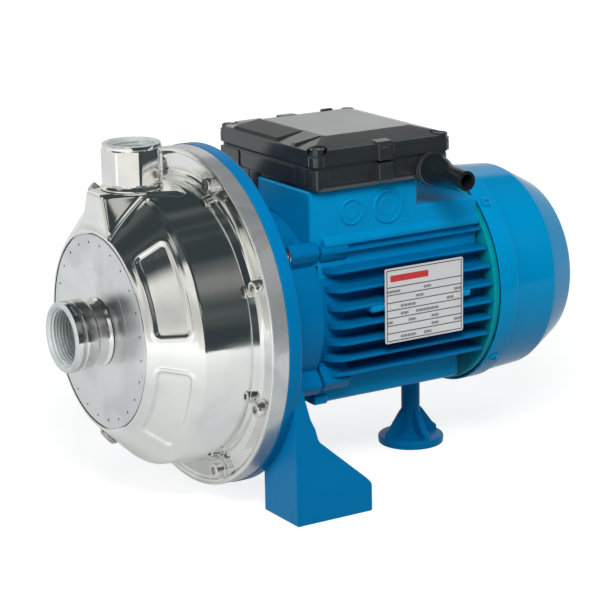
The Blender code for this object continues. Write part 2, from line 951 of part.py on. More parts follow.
def makeSuctionPort():
    outside = suction_radius
    groove_x = suction_face_x + 0.5 * suction_band
    band_x = suction_face_x + suction_band
    waist_x = band_x + suction_chamfer
    seat_x = front_face_x - gap
    inner_x = impeller_eye_x - suction_foot
    bore_x = suction_face_x + suction_thread_depth
    profile = [(suction_face_x, suction_bore + suction_bore_chamfer),
               (suction_face_x, outside - suction_lip_drop),
               (suction_face_x + suction_lip, outside), (groove_x, outside),
               (groove_x + suction_line_width / 3, outside - suction_line_depth),
               (groove_x + suction_line_width, outside), (band_x, outside),
               (waist_x, suction_waist_radius), (seat_x - suction_foot, suction_waist_radius),
               (seat_x, suction_waist_radius + suction_foot_flare), (seat_x, suction_neck_radius),
               (inner_x, suction_neck_radius), (inner_x, suction_inner_bore),
               (bore_x, suction_inner_bore), (bore_x - 0.5 * suction_bore_step, suction_bore),
               (suction_face_x + suction_bore_chamfer, suction_bore)]
    return turned("suction_port", profile, mid_steps, "polished_steel")


def makeDischargePort():
    seat = port_seat
    weld = seat + port_collar_height
    ring = port_top - port_ring
    edge = port_chamfer
    floor = seat + port_seat_depth
    throat = port_bore - port_seat_lip
    profile = [(seat, throat), (seat, port_collar), (seat + port_collar_edge, port_collar),
               (weld, port_radius - 0.5 * edge), (weld + port_weld, port_side_radius),
               (ring, port_side_radius), (ring, port_radius + port_ring_play),
               (port_top - edge, port_radius), (port_top, port_radius - edge),
               (port_top, port_bore + edge), (port_top - edge, port_bore),
               (floor, port_bore), (floor - 0.5 * port_seat_lip, throat)]

    def faceted(index, radius, angle):
        if index not in (4, 5):
            return radius
        half = pi / port_sides
        flat = port_side_radius * cos(half) / cos(((angle + half) % (2 * half)) - half)
        return min(flat, port_radius + gap)

    def place(station, radius, angle):
        return (port_x + radius * cos(angle), radius * sin(angle), station)
    return ringSolid("discharge_port", profile, 3 * port_sides, place, faceted, "polished_steel")


def flangeFrontX():
    return channel_x + sheet + gap


def makeSealPlate():
    flange_front = flangeFrontX()
    flange_back = flange_front + plate_flange
    edge = plate_radius
    spigot_x = flange_front - spigot_depth
    hub_x = dish_x - seal_hub_rise
    pocket_x = hub_x + seat_length + gap
    mid = flange_front - 0.5 * spigot_depth
    half = 0.5 * ring_section + gap
    groove = spigot_radius - ring_groove
    profile = [(flange_back, edge), (flange_front, edge), (flange_front, spigot_radius),
               (mid + half, spigot_radius), (mid + half, groove), (mid - half, groove),
               (mid - half, spigot_radius), (spigot_x, spigot_radius),
               (spigot_x, spigot_radius - spigot_wall), (dish_x, dish_radius),
               (dish_x, seal_hub_radius + dish_blend), (hub_x, seal_hub_radius),
               (hub_x, seat_radius + gap), (pocket_x, seat_radius + gap),
               (pocket_x, seat_bore + seat_edge), (pocket_x + plate_sheet, seat_bore + seat_edge),
               (pocket_x + plate_sheet, seal_hub_radius + dish_blend),
               (dish_x + plate_sheet, dish_radius - dish_back_step),
               (flange_back, spigot_radius - spigot_back_wall)]
    return turned("seal_plate", profile, mid_steps, "brushed_steel")


def makeORing():
    centre_x = flangeFrontX() - 0.5 * spigot_depth
    low = spigot_radius - ring_groove + gap
    radius = 0.5 * ring_section
    turns = [2 * pi * side / ring_sides for side in range(ring_sides)]
    profile = [(centre_x + radius * cos(turn), low + radius + radius * sin(turn)) for turn in turns]
    return turned("casing_o_ring", profile, mid_steps, "rubber")


def makeWearRing():
    inner = impeller_eye_radius + wear_ring_play
    front = casing_front_x + sheet + gap
    end = impeller_shroud_x - wear_ring_inset
    profile = [(front, inner), (front, inner + wear_ring_thickness), (end, inner + wear_ring_thickness),
               (end, inner)]
    return turned("wear_ring", profile, mid_steps, "brushed_steel")


def makeScrew(name, angle):
    seat = channel_x - gap
    face = seat - screw_head_height
    centre = onShaft(0, screw_circle, angle)
    profile = [(screw_reach, 0.0), (screw_reach, screw_radius), (seat, screw_radius),
               (seat, screw_head_radius), (face, screw_head_radius), (face, socket_radius),
               (face + socket_depth, socket_radius), (face + socket_depth, 0.0)]

    def place(station, radius, turn):
        return (station, centre[1] + radius * cos(turn), centre[2] + radius * sin(turn))

    return ringSolid(name, profile, hex_steps, place, hexagon(5, 6), "bright_zinc")


# Impeller and seals

def shroudX(radius):
    share = (radius - impeller_eye_radius) / (impeller_radius - impeller_eye_radius)
    outer = impeller_back_x - impeller_sheet - impeller_outlet - impeller_sheet
    return impeller_shroud_x + share * (outer - impeller_shroud_x)


def makeVane(index):
    first = impeller_hub_radius + vane_start
    last = impeller_radius - vane_end_play
    rows = []
    for step in range(vane_steps + 1):
        share = step / vane_steps
        radius = first + share * (last - first)
        middle = 2 * pi * index / vane_count - radians(vane_sweep) * share ** vane_bend
        lean = vane_lean * vane_thickness / radius * (1.0 if 0 < step < vane_steps else 0.5)
        front = shroudX(radius) + 0.5 * impeller_sheet
        back = impeller_back_x - 0.5 * impeller_sheet
        rows.append([onShaft(front, radius, middle - lean), onShaft(front, radius, middle + lean),
                     onShaft(back, radius, middle + lean), onShaft(back, radius, middle - lean)])
    return stacked("vane", rows)


def makeImpeller():
    face = impeller_back_x - impeller_sheet
    hub_x = impeller_back_x - impeller_hub_length
    bore = shaft_pump_radius + gap
    back = [(impeller_back_x, bore), (impeller_back_x, impeller_radius), (face, impeller_radius),
            (face, impeller_hub_radius + impeller_hub_blend),
            (face - impeller_hub_blend, impeller_hub_radius),
            (hub_x, impeller_hub_radius), (hub_x, bore)]
    wheel = turned("impeller", back, mid_steps, "brushed_steel")
    eye = impeller_eye_radius
    shroud = turned("shroud", [(impeller_eye_x, eye), (impeller_shroud_x, eye),
                               (shroudX(impeller_radius), impeller_radius),
                               (shroudX(impeller_radius) + impeller_sheet, impeller_radius),
                               (impeller_shroud_x + impeller_sheet, eye - impeller_sheet),
                               (impeller_eye_x, eye - impeller_sheet)], mid_steps)
    for index in range(vane_count):
        combine(wheel, [makeVane(index)], "UNION")
    return combine(wheel, [shroud], "UNION")


def makeNut():
    front = impeller_back_x - impeller_hub_length - gap - nut_length
    back = front + nut_length
    bore = shaft_tip_radius + gap
    profile = [(front, bore), (front, nut_radius), (back, nut_radius), (back, bore)]
    return ringSolid("impeller_nut", profile, hex_steps, onShaft, hexagon(1, 2), "bright_zinc")


def makeSeals():
    seat_front = dish_x - seal_hub_rise
    seat_back = seat_front + seat_length
    seat = [(seat_front, seat_bore), (seat_front, seat_radius - seat_edge),
            (seat_front + seat_edge, seat_radius), (seat_back, seat_radius), (seat_back, seat_bore)]
    turned("mechanical_seal_seat", seat, hidden_steps, "ceramic")
    front = impeller_back_x + gap
    back = seat_front - gap
    bore = shaft_pump_radius + gap
    face = head_radius - head_face_step
    head = [(front, bore), (front, head_radius - head_front_step), (front + head_band, head_radius),
            (back - head_band, head_radius), (back - head_face_length, face), (back, face), (back, bore)]
    turned("mechanical_seal_head", head, hidden_steps, "rubber")


# Shaft line

def makeShaft():
    tip = impeller_back_x - impeller_hub_length - gap - nut_length - shaft_tip_reach
    step_x = impeller_back_x - impeller_hub_length
    seat_x = bearing_x - gap - shaft_relief
    front_end = bearing_x + front_bearing_width + gap
    core_x = stack_front_x - end_ring
    core_end = stack_front_x + stack_length + end_ring
    rear_start = rear_bearing_x - gap
    rear_end = rear_bearing_x + rear_bearing_width + shaft_relief
    front_shoulder = shaft_front_radius + shaft_shoulder
    rear_shoulder = shaft_rear_radius + shaft_shoulder
    profile = [(tip, 0.0), (tip, shaft_tip_radius), (step_x, shaft_tip_radius), (step_x, shaft_pump_radius),
               (seat_x, shaft_pump_radius), (seat_x, shaft_front_radius), (front_end, shaft_front_radius),
               (front_end, front_shoulder), (core_x, front_shoulder), (core_x, shaft_core_radius),
               (core_end, shaft_core_radius), (core_end, rear_shoulder), (rear_start, rear_shoulder),
               (rear_start, shaft_rear_radius), (rear_end, shaft_rear_radius), (rear_end, shaft_fan_radius),
               (fan_x + fan_depth, shaft_fan_radius), (fan_x + fan_depth, 0.0)]
    return turned("shaft", profile, small_steps, "brushed_steel")


def makeMotorCore():
    start = stack_front_x
    end = stack_front_x + stack_length
    bore = shaft_core_radius + gap
    rotor = [(start - end_ring, bore), (start - end_ring, end_ring_radius), (start, end_ring_radius),
             (start, rotor_radius), (end, rotor_radius), (end, end_ring_radius),
             (end + end_ring, end_ring_radius), (end + end_ring, bore)]
    turned("rotor_core", rotor, hidden_steps, "lamination")
    inner = rotor_radius + air_gap
    outer = housing_bore - stator_play
    stator = [(start, inner), (start, outer), (end, outer), (end, inner)]
    turned("stator_core", stator, mid_steps, "lamination")
    for name, low, high in (("stator_winding_front", start - gap - winding_length, start - gap),
                            ("stator_winding_rear", end + gap, end + gap + winding_length)):
        soft = winding_round
        profile = [(low, winding_inner + soft), (low, winding_outer - soft), (low + soft, winding_outer),
                   (high, winding_outer), (high, winding_inner), (low + soft, winding_inner)]
        if low > start:
            profile = [(low + high - x, radius) for x, radius in profile]
        turned(name, profile, hidden_steps, "copper")


def makeBearing(name, start, width, inner, outer):
    low = inner + gap
    track = bearing_race_share * (outer - low)
    end = start + width
    dip = end - bearing_dip
    step = bearing_race_step
    profile = [(start, low), (start, outer), (end, outer), (end, outer - track),
               (dip, outer - track - step), (dip, low + track + step), (end, low + track), (end, low)]
    return turned(name, profile, hidden_steps, "brushed_steel")


def makeSlinger():
    bore = shaft_pump_radius + gap
    end = slinger_x + slinger_width
    edge = slinger_edge
    profile = [(slinger_x, bore), (slinger_x + edge, slinger_radius),
               (slinger_x + 2 * edge, slinger_radius), (end, bore + slinger_hub), (end, bore)]
    return turned("water_slinger", profile, hidden_steps, "rubber")


# Bracket

def lugOutline(reach, low):
    half = lug_half_width
    base = shaft_height + low
    top = shaft_height + reach
    knee = top - lug_corner_drop
    return [(-half, base), (half, base), (half, knee), (half - lug_corner, top),
            (-half + lug_corner, top), (-half, knee)]


def legOutline():
    front = leg_front_x
    back = front + foot_length
    web = front + web_back
    toe = foot_toe_height + foot_toe_slope
    return [(front, 0.0), (back, 0.0), (back, foot_toe_height), (back - foot_toe_edge, toe),
            (web + web_blend, web_height - web_drop), (web, web_height + web_rise),
            (front + web_shoulder_share * web_back, web_height + web_shoulder),
            (disc_thickness + leg_seat, leg_top - web_shoulder),
            (disc_thickness - leg_seat, leg_top), (front, leg_top)]


def makeLeg(side):
    low, high = sorted((side * leg_inner, side * leg_outer))
    leg = prism("leg", legOutline(), low, high, "Y")
    pocket_low = (leg_front_x + web_back + foot_wall, low + foot_wall, -overcut)
    pocket_high = (leg_front_x + foot_length - foot_wall, high - foot_wall, foot_pocket_height)
    return combine(leg, [block("pocket", pocket_low, pocket_high)], "DIFFERENCE")


def makeGusset(side):
    low, high = sorted((side * gusset_y, side * (gusset_y - gusset_thickness)))
    start = disc_thickness - disc_edge
    root = shaft_height + gusset_root
    rib = [(start, root)] + [(start + x, gusset_top + z) for x, z in gusset_curve]
    return prism("gusset", rib + [(start + gusset_length, root)], low, high, "Y")


def makeBracket():
    spigot = rim_radius - rim_sheet - gap
    pocket = front_bearing_radius + bearing_play
    front = flangeFrontX()
    seat = front + plate_flange + gap
    hub_end = bearing_x + front_bearing_width + front_hub_reach
    ring = plate_radius + plate_play
    profile = [(seat, bracket_ring_inner), (seat, ring), (front, ring), (front, spigot), (0.0, spigot),
               (0.0, disc_radius),
               (disc_thickness - disc_edge, disc_radius), (disc_thickness, disc_radius - disc_edge),
               (disc_thickness, drum_radius + drum_blend), (disc_thickness + drum_blend, drum_radius),
               (drum_end_x, drum_radius), (drum_end_x, drum_radius - drum_wall),
               (drum_floor, drum_radius - drum_wall), (drum_floor, front_hub_radius),
               (hub_end, front_hub_radius), (hub_end, pocket), (bearing_x - gap, pocket),
               (bearing_x - gap, shaft_hole),
               (disc_recess, shaft_hole), (disc_recess, bracket_ring_inner)]
    bracket = turned("motor_bracket", profile, round_steps, "blue_paint")
    for side in (-1, 1):
        combine(bracket, [makeLeg(side), makeGusset(side)], "UNION")
    for angle in lug_angles:
        lug = prism("lug", lugOutline(lug_outer, drum_radius - lug_root), lug_start_x, drum_end_x, "X")
        combine(bracket, [spun(lug, radians(angle))], "UNION")
    for angle in lug_angles:
        combine(bracket, [alongShaft("hole", lug_bolt_radius + hole_play, lug_bolt_circle,
                                     lug_start_x - overcut, drum_end_x + overcut, radians(angle))],
                "DIFFERENCE")
    for angle in screwAngles():
        combine(bracket, [alongShaft("hole", screw_radius + hole_play, screw_circle,
                                     -overcut, screw_reach + hole_spare, angle)], "DIFFERENCE")
    return bracket


def makeBolt(name, angle):
    seat = lug_start_x - gap
    end = housing_x + lug_tail - lug_tail_play
    centre = onShaft(0, lug_bolt_circle, angle)
    profile = [(end, 0.0), (end, lug_bolt_radius), (seat, lug_bolt_radius), (seat, lug_bolt_head),
               (seat - lug_bolt_head_height, lug_bolt_head), (seat - lug_bolt_head_height, 0.0)]

    def place(station, radius, turn):
        return (station, centre[1] + radius * cos(turn), centre[2] + radius * sin(turn))

    return ringSolid(name, profile, hex_steps, place, hexagon(3, 4), "bright_zinc")


# Motor housing

def finLevels():
    middle = 0.5 * (fin_count - 1)
    return [fin_offset + (middle - index) * fin_pitch for index in range(fin_count)]


def makeFin(level, side):
    tip = sqrt(fin_tip_radius ** 2 - level ** 2)
    root = sqrt(housing_radius ** 2 - level ** 2) - fin_root
    start = housing_x + end_step
    end = housing_end_x - end_step
    outline = [(start, side * root), (end, side * root), (end, side * (tip - fin_edge)),
               (end - fin_edge, side * tip), (housing_x + fin_lead, side * tip),
               (housing_x + 0.5 * fin_lead, side * (tip - fin_edge)),
               (housing_x + 0.15 * fin_lead, side * (tip - fin_nose_drop)),
               (start, side * (root + 0.35 * (tip - root)))]
    z = shaft_height + level
    return prism("fin", outline, z - 0.5 * fin_thickness, z + 0.5 * fin_thickness, "Z")


def makePad():
    low = pad_bottom + pad_chamfer
    base = pad_half - pad_chamfer
    root = shaft_height - pad_root
    outline = [(-pad_half, low), (-base, pad_bottom), (base, pad_bottom), (pad_half, low),
               (pad_half, root), (-pad_half, root)]
    return prism("pad", outline, pad_start_x, pad_end_x, "X")


def makePedestal():
    low = shaft_height + pedestal_root
    start = housing_x + 2 * end_step
    end = housing_end_x - 2 * end_step
    above = shaft_height + drum_radius + gap
    top = box_bottom - gap
    shape = [(start, low), (start, above), (pedestal_front_x, above), (pedestal_front_x, top),
             (pedestal_back_x, top), (pedestal_back_x, shelf_height), (end, shelf_height), (end, low)]
    return prism("pedestal", shape, -pedestal_half, pedestal_half, "Y")


def makeLedge(side):
    middle = shaft_height + ledge_height
    root = pedestal_half - ledge_half
    face = ledge_y - ledge_corner
    low = middle - ledge_half
    high = middle + ledge_half
    lip = [(side * root, low), (side * face, low), (side * ledge_y, middle), (side * face, high),
           (side * root, high)]
    return prism("ledge", lip, housing_x + ledge_setback, housing_end_x - 3 * end_step, "X")


def makePlateBosses():
    root = -housing_radius + plate_boss_half
    bosses = []
    for x, (before, after) in zip(rivet_places, (plate_boss_left, plate_boss_right)):
        bosses.append(block("boss", (x - before, -plate_boss_face, rivet_z - plate_boss_half),
                            (x + after, root, rivet_z + plate_boss_half)))
    return bosses


def makeTail(angle):
    outline = lugOutline(lug_outer - lug_tail_step, housing_radius - lug_tail_play)
    tail = prism("tail", outline, housing_x + 3 * end_step, housing_x + lug_tail, "X")
    return spun(tail, radians(angle))


def housingCuts():
    wall = pedestal_wall
    half = pedestal_half - wall
    reach = wire_hole_half
    tools = [turned("bore", barProfile(housing_x - overcut, housing_end_x + overcut, housing_bore),
                    round_steps)]
    tools.append(block("pocket", (pedestal_front_x + wall, -half, pedestal_floor),
                       (pedestal_back_x - wall, half, box_bottom + overcut)))
    tools.append(block("wires", (wire_hole_x - reach, -reach, shaft_height + wire_hole_root),
                       (wire_hole_x + reach, reach, pedestal_floor + wall)))
    for angle in lug_angles:
        tools.append(alongShaft("hole", lug_bolt_radius + hole_play, lug_bolt_circle,
                                housing_x - overcut, housing_x + lug_tail - lug_tail_step,
                                radians(angle)))
    for x in rivet_places:
        hole = barProfile(-plate_boss_face - overcut, -plate_boss_face + rivet_length, rivet_radius + gap)
        tools.append(turnedSide("rivet_hole", hole, (x, rivet_z), bar_steps))
    stud = barProfile(pad_bottom - overcut, pad_bottom + rear_stud_length + gap, rear_stud_radius + gap)
    tools.append(turnedUp("stud_hole", stud, (rear_foot_x, 0.0)))
    return tools


def makeKnockouts():
    face = -pedestal_half
    discs = []
    for step, radius in enumerate((knockout_small, knockout_large)):
        disc = [(face + knockout_root, 0.0), (face + knockout_root, radius),
                (face - knockout_rise, radius - knockout_edge),
                (face - knockout_rise, radius - knockout_rim),
                (face - knockout_floor, radius - knockout_slope), (face - knockout_floor, 0.0)]
        centre = (knockout_x + step * knockout_pitch, knockout_z)
        discs.append(turnedSide("knockout", disc, centre, small_steps))
    return discs


def makeHousing():
    body = turned("motor_housing", barProfile(housing_x, housing_end_x, housing_radius),
                  round_steps, "blue_paint")
    parts = [makePad(), makePedestal()]
    for side in (-1, 1):
        parts.append(makeLedge(side))
        parts += [makeFin(level, side) for level in finLevels()]
    parts += makePlateBosses()
    parts += [makeTail(angle) for angle in lug_angles]
    combine(body, parts, "UNION")
    combine(body, housingCuts(), "DIFFERENCE")
    return combine(body, makeKnockouts(), "UNION")


def makeNameplate():
    outline = roundedOutline((plate_left_x, plate_bottom),
                             (plate_left_x + plate_width, plate_bottom + plate_height), plate_corner, 1)
    back = -plate_boss_face - gap
    plate = prism("nameplate", outline, back - plate_metal, back, "Y", "plate_metal")
    for x in rivet_places:
        hole = barProfile(back - overcut, back + overcut, rivet_radius + gap)
        combine(plate, [turnedSide("rivet_hole", hole, (x, rivet_z), bar_steps)], "DIFFERENCE")
    seat = back - plate_metal - gap
    end = -plate_boss_face + rivet_length - gap
    profile = [(end, 0.0), (end, rivet_radius), (seat, rivet_radius), (seat, rivet_head),
               (seat - dome_share * rivet_head_height, rivet_crown_share * rivet_head),
               (seat - rivet_head_height, 0.0)]
    for index, x in enumerate(rivet_places):
        turnedSide("nameplate_rivet_%d" % (index + 1), profile, (x, rivet_z), bar_steps, "bright_zinc")
    return plate


# Rear shield, fan and cover

def makeShield():
    start = housing_end_x + gap
    end = start + shield_thickness
    pocket = rear_bearing_radius + bearing_play
    hub_end = rear_bearing_x + rear_bearing_width + gap
    face = hub_end + shield_hub_end
    shaft_bore = shaft_rear_radius + shield_shaft_play
    nose = start - shield_hub_reach
    profile = [(start, shield_radius), (end, shield_radius), (end, shield_hub_radius + shield_hub_blend),
               (face, shield_hub_radius), (face, shaft_bore), (hub_end, shaft_bore), (hub_end, pocket),
               (nose, pocket), (nose, shield_hub_radius), (start, shield_hub_radius)]
    shield = turned("rear_shield", profile, mid_steps, "blue_paint")
    for angle in boss_angles:
        boss = block("boss", (end - boss_sink, -boss_half, shaft_height + shield_radius - boss_root),
                     (end + boss_length, boss_half, shaft_height + boss_outer))
        hole = radialBar("hole", cover_screw_radius + gap, boss_outer - cover_screw_length,
                         boss_outer + overcut)
        combine(shield, [spun(boss, radians(angle))], "UNION")
        combine(shield, [spun(hole, radians(angle))], "DIFFERENCE")
    return shield


def radialBar(name, radius, low, high):
    profile = barProfile(shaft_height + low, shaft_height + high, radius)
    return turnedUp(name, profile, (cover_screw_x, 0.0), bar_steps)


def coverProfile(inset):
    band = cover_x + cover_band
    step = band + cover_step_length
    low = cover_end_radius - cover_edge_drop - inset
    return [(cover_x, cover_band_radius - inset), (band, cover_band_radius - band_draft - inset),
            (step, cover_radius - inset),
            (cover_bend_x - cover_bend, cover_bend_radius + band_draft - inset),
            (cover_bend_x + cover_bend_end - 0.5 * inset, cover_bend_radius - cover_edge_drop / 2 - inset),
            (cover_end_x - cover_round - inset, cover_end_radius + cover_round_rise - 1.2 * inset),
            (cover_end_x - cover_edge - inset, cover_end_radius + cover_edge_rise - 1.2 * inset),
            (cover_end_x - inset, low), (cover_end_x - inset, 0.0)]


def makeCover():
    profile = coverProfile(0.0) + list(reversed(coverProfile(cover_sheet)))
    cover = turned("fan_cover", profile, round_steps, "blue_paint")
    tools = []
    for index in range(slot_count):
        slot = block("slot", (cover_end_x - overcut, -0.5 * slot_width, shaft_height + slot_inner),
                     (cover_end_x + overcut, 0.5 * slot_width, shaft_height + slot_outer))
        tools.append(spun(slot, 2 * pi * index / slot_count))
    for angle in boss_angles:
        hole = radialBar("hole", cover_screw_radius + gap, cover_band_radius - overcut,
                         cover_band_radius + overcut)
        tools.append(spun(hole, radians(angle)))
    return combine(cover, tools, "DIFFERENCE")


def makeCoverScrew(name, angle):
    seat = shaft_height + cover_band_radius + gap
    end = shaft_height + boss_outer - cover_screw_length + gap
    profile = [(end, 0.0), (end, cover_screw_radius), (seat, cover_screw_radius), (seat, cover_screw_head),
               (seat + dome_share * cover_screw_head_height, 0.85 * cover_screw_head),
               (seat + cover_screw_head_height, 0.0)]
    screw = turnedUp(name, profile, (cover_screw_x, 0.0), hex_steps, "bright_zinc")
    return spun(screw, radians(angle))


def makeFan():
    bore = shaft_fan_radius + gap
    end = fan_x + fan_depth
    face = fan_x + fan_disc
    hub_end = end - fan_hub_end
    edge = fan_radius * fan_disc_share
    profile = [(fan_x, bore), (fan_x, edge), (face, edge), (face, fan_hub_radius),
               (hub_end, fan_hub_radius), (hub_end, bore)]
    fan = turned("cooling_fan", profile, mid_steps, "grey_plastic")
    root = shaft_height + fan_hub_radius - blade_thickness
    tip = shaft_height + fan_radius
    start = fan_x + fan_blade_step
    outline = [(start, root), (end - fan_blade_end, root), (end - fan_blade_slope, tip), (start, tip)]
    half = 0.5 * blade_thickness
    for index in range(blade_count):
        blade = prism("blade", outline, -half, half, "Y")
        combine(fan, [spun(blade, 2 * pi * (index + 0.5) / blade_count)], "UNION")
    return fan


# Terminal box

def boxRing(insets, level):
    front, back, side = insets
    outline = roundedOutline((box_front_x + front, -box_half + side),
                             (box_back_x - back, box_half - side), box_corner)
    return [(x, y, level) for x, y in outline]


def evenRing(inset, level):
    return boxRing((inset, inset, inset), level)


def towerPlaces():
    ends = (box_front_x + tower_inset, box_back_x - tower_inset)
    return [(x, side * (box_half - tower_inset)) for x in ends for side in (-1, 1)]


def makeBoxBase():
    inset = box_inset
    base = stacked("terminal_box_base", [evenRing(inset + box_foot, box_bottom),
                                         evenRing(inset, box_bottom + box_foot_height),
                                         evenRing(inset, box_split)], "black_plastic")
    wall = inset + box_wall
    inner = stacked("inner", [evenRing(wall, box_bottom + box_wall), evenRing(wall, box_split + overcut)])
    combine(base, [inner], "DIFFERENCE")
    for side in (-1, 1):
        low, high = sorted((side * (box_half - inset - pillar_round), side * (box_half + pillar_reach)))
        combine(base, [block("pillar", (box_middle_x - pillar_half, low, box_bottom + pillar_lift),
                             (box_middle_x + pillar_half, high, box_split))], "UNION")
    for centre in towerPlaces():
        post = barProfile(box_bottom + tower_crown, box_split - gap, tower_radius - tower_wall)
        hole = barProfile(tower_top - box_screw_length, box_split + overcut, box_screw_radius + gap)
        combine(base, [turnedUp("post", post, centre, bar_steps)], "UNION")
        combine(base, [turnedUp("hole", hole, centre, bar_steps)], "DIFFERENCE")
    half = wire_hole_half
    wires = block("wires", (wire_hole_x - half, -half, box_bottom - overcut),
                  (wire_hole_x + half, half, box_bottom + overcut))
    thread = turnedSide("thread", barProfile(-box_half - overcut, -box_half + gland_hole_depth,
                                             gland_thread + gap), (gland_x, gland_z), small_steps)
    return combine(base, [wires, thread], "DIFFERENCE")


def boxPillar(side):
    root = side * (box_half - pillar_root)
    face = side * (box_half + pillar_reach)
    shoulder = pillar_top - pillar_slope
    outline = [(root, cover_bottom), (face, cover_bottom), (face, shoulder),
               (face - side * pillar_round, pillar_top - pillar_round), (root, shoulder)]
    return prism("pillar", outline, box_middle_x - pillar_half, box_middle_x + pillar_half, "X")


def makeBoxCover():
    top = (plateau_front, plateau_back, plateau_side)
    inside_top = tuple(inset + plateau_wall for inset in top)
    wall = box_wall + box_cover_play
    cover = stacked("terminal_box_cover", [evenRing(0.0, cover_bottom), evenRing(0.0, box_rim_top),
                                           boxRing(top, box_top)], "black_plastic")
    inner = stacked("inner", [evenRing(wall, cover_bottom - overcut), evenRing(wall, box_rim_top - box_roof),
                              boxRing(inside_top, box_top - box_wall)])
    combine(cover, [inner], "DIFFERENCE")
    combine(cover, [boxPillar(-1), boxPillar(1)], "UNION")
    for centre in towerPlaces():
        post = barProfile(cover_bottom + gap, tower_top + tower_crown, tower_radius)
        hole = barProfile(cover_bottom - overcut, tower_top + overcut, box_screw_radius + gap)
        dip = barProfile(tower_top, box_top, tower_radius - tower_dip)
        combine(cover, [turnedUp("post", post, centre, hex_steps)], "UNION")
        combine(cover, [turnedUp("dip", dip, centre, hex_steps),
                        turnedUp("hole", hole, centre, bar_steps)], "DIFFERENCE")
    return cover


def makeGasket():
    edge = box_inset + gasket_inset
    low = box_split + gap
    high = low + gasket_thickness
    gasket = stacked("terminal_box_gasket", [evenRing(edge, low), evenRing(edge, high)], "rubber")
    wall = edge + gasket_width
    inner = stacked("inner", [evenRing(wall, low - overcut), evenRing(wall, high + overcut)])
    return combine(gasket, [inner], "DIFFERENCE")


def makeBoxScrew(name, centre):
    seat = tower_top + gap
    end = tower_top - box_screw_length + gap
    top = seat + box_screw_head_height
    profile = [(end, 0.0), (end, box_screw_radius), (seat, box_screw_radius), (seat, box_screw_head),
               (top, box_screw_taper * box_screw_head), (top, 0.0)]
    return turnedUp(name, profile, centre, bar_steps, "bright_zinc")


def makeGland():
    flange_back = -box_half - gap
    flange_face = flange_back - gland_flange
    inner = -box_half + box_inset + box_wall + gland_inside
    bore = sleeve_bore + gland_bore_play
    edge = gland_flange_edge
    profile = [(inner, bore), (inner, gland_thread), (flange_back, gland_thread),
               (flange_back, gland_flange_radius), (flange_face + edge, gland_flange_radius),
               (flange_face, gland_flange_radius - edge), (flange_face, bore)]
    turnedSide("cable_gland", profile, (gland_x, gland_z), small_steps, "black_plastic")
    start = flange_face - gap
    end = start - sleeve_length
    taper = sleeve_base_radius - sleeve_tip_radius
    sleeve = [(start, sleeve_bore), (start, sleeve_base_radius - sleeve_base_edge)]
    sleeve += [(start - reach, sleeve_tip_radius + share * taper) for reach, share in sleeve_curve]
    sleeve += [(end + sleeve_tip_edge, sleeve_tip_radius), (end, sleeve_tip_radius - sleeve_tip_edge),
               (end, sleeve_bore)]
    turnedSide("cord_protector", sleeve, (gland_x, gland_z), small_steps, "rubber", sleeve_droop, -start)


def makeTerminalBlock(floor):
    x = box_back_x - block_setback
    half = 0.5 * block_width
    terminal = block("terminal_block", (x, -half, floor), (x + block_length, half, floor + block_height),
                     "grey_plastic")
    post = barProfile(floor + post_root, floor + block_height + post_height, post_radius)
    for column in range(post_columns):
        for row in range(post_rows):
            centre = (x + block_length * (column + 0.75) / (post_columns + 0.5),
                      block_width * ((row + 0.5) / post_rows - 0.5))
            combine(terminal, [turnedUp("post", post, centre, bar_steps)], "UNION")
    return terminal


def makeCapacitor(floor):
    centre_z = floor + capacitor_radius
    start = box_front_x + capacitor_setback
    end = start + capacitor_length
    soft = capacitor_round
    edge = capacitor_edge
    profile = [(start, 0.0), (start, capacitor_radius - soft), (start + soft, capacitor_radius),
               (end - edge, capacitor_radius), (end, capacitor_radius - edge), (end, 0.0)]

    def place(station, radius, angle):
        return (station, capacitor_y + radius * cos(angle), centre_z + radius * sin(angle))
    return ringSolid("capacitor", profile, small_steps, place, finish="grey_plastic")


# Rear foot

def makeRearFoot():
    top = pad_bottom - gap
    rim = rear_foot_rim
    edge = rear_foot_radius
    soft = rear_foot_round
    profile = [(0.0, 0.0), (0.0, edge - rear_foot_edge), (rear_foot_edge, edge), (rim - soft, edge),
               (rim, edge - soft), (rim + rear_foot_edge, rear_stem_radius + rear_stem_flare),
               (rim + rear_stem_rise, rear_stem_radius), (top, rear_stem_radius),
               (top, rear_stud_radius), (pad_bottom + rear_stud_length, rear_stud_radius),
               (pad_bottom + rear_stud_length, 0.0)]
    foot = turnedUp("rear_foot", profile, (rear_foot_x, 0.0), mid_steps, "blue_paint")
    half = rear_gusset_half
    sunk = rim - rear_gusset_sink
    for side in (-1, 1):
        far = side * (edge - rear_gusset_inset)
        near = side * (rear_stem_radius - rear_gusset_sink)
        tip = side * rear_stem_radius
        web = [(near, sunk), (far, sunk), (far, rim + rear_gusset_lip), (tip, rear_gusset_top),
               (near, rear_gusset_top)]
        along = [(rear_foot_x + reach, level) for reach, level in web]
        combine(foot, [prism("web", along, -half, half, "Y")], "UNION")
        combine(foot, [prism("web", web, rear_foot_x - half, rear_foot_x + half, "X")], "UNION")
    return foot


# Assembly

def finishMesh(piece):
    mesh = piece.data
    build = bmesh.new()
    build.from_mesh(mesh)
    bmesh.ops.recalc_face_normals(build, faces=build.faces)
    build.to_mesh(mesh)
    build.free()
    mesh.polygons.foreach_set("use_smooth", [True] * len(mesh.polygons))
    mesh.set_sharp_from_angle(angle=radians(32))
    if len(mesh.materials) > 1:
        kept = mesh.materials[0]
        mesh.materials.clear()
        mesh.materials.append(kept)
        mesh.polygons.foreach_set("material_index", [0] * len(mesh.polygons))


rotor_nodes = ("shaft", "rotor_core", "impeller", "impeller_nut", "mechanical_seal_head",
               "water_slinger", "cooling_fan")


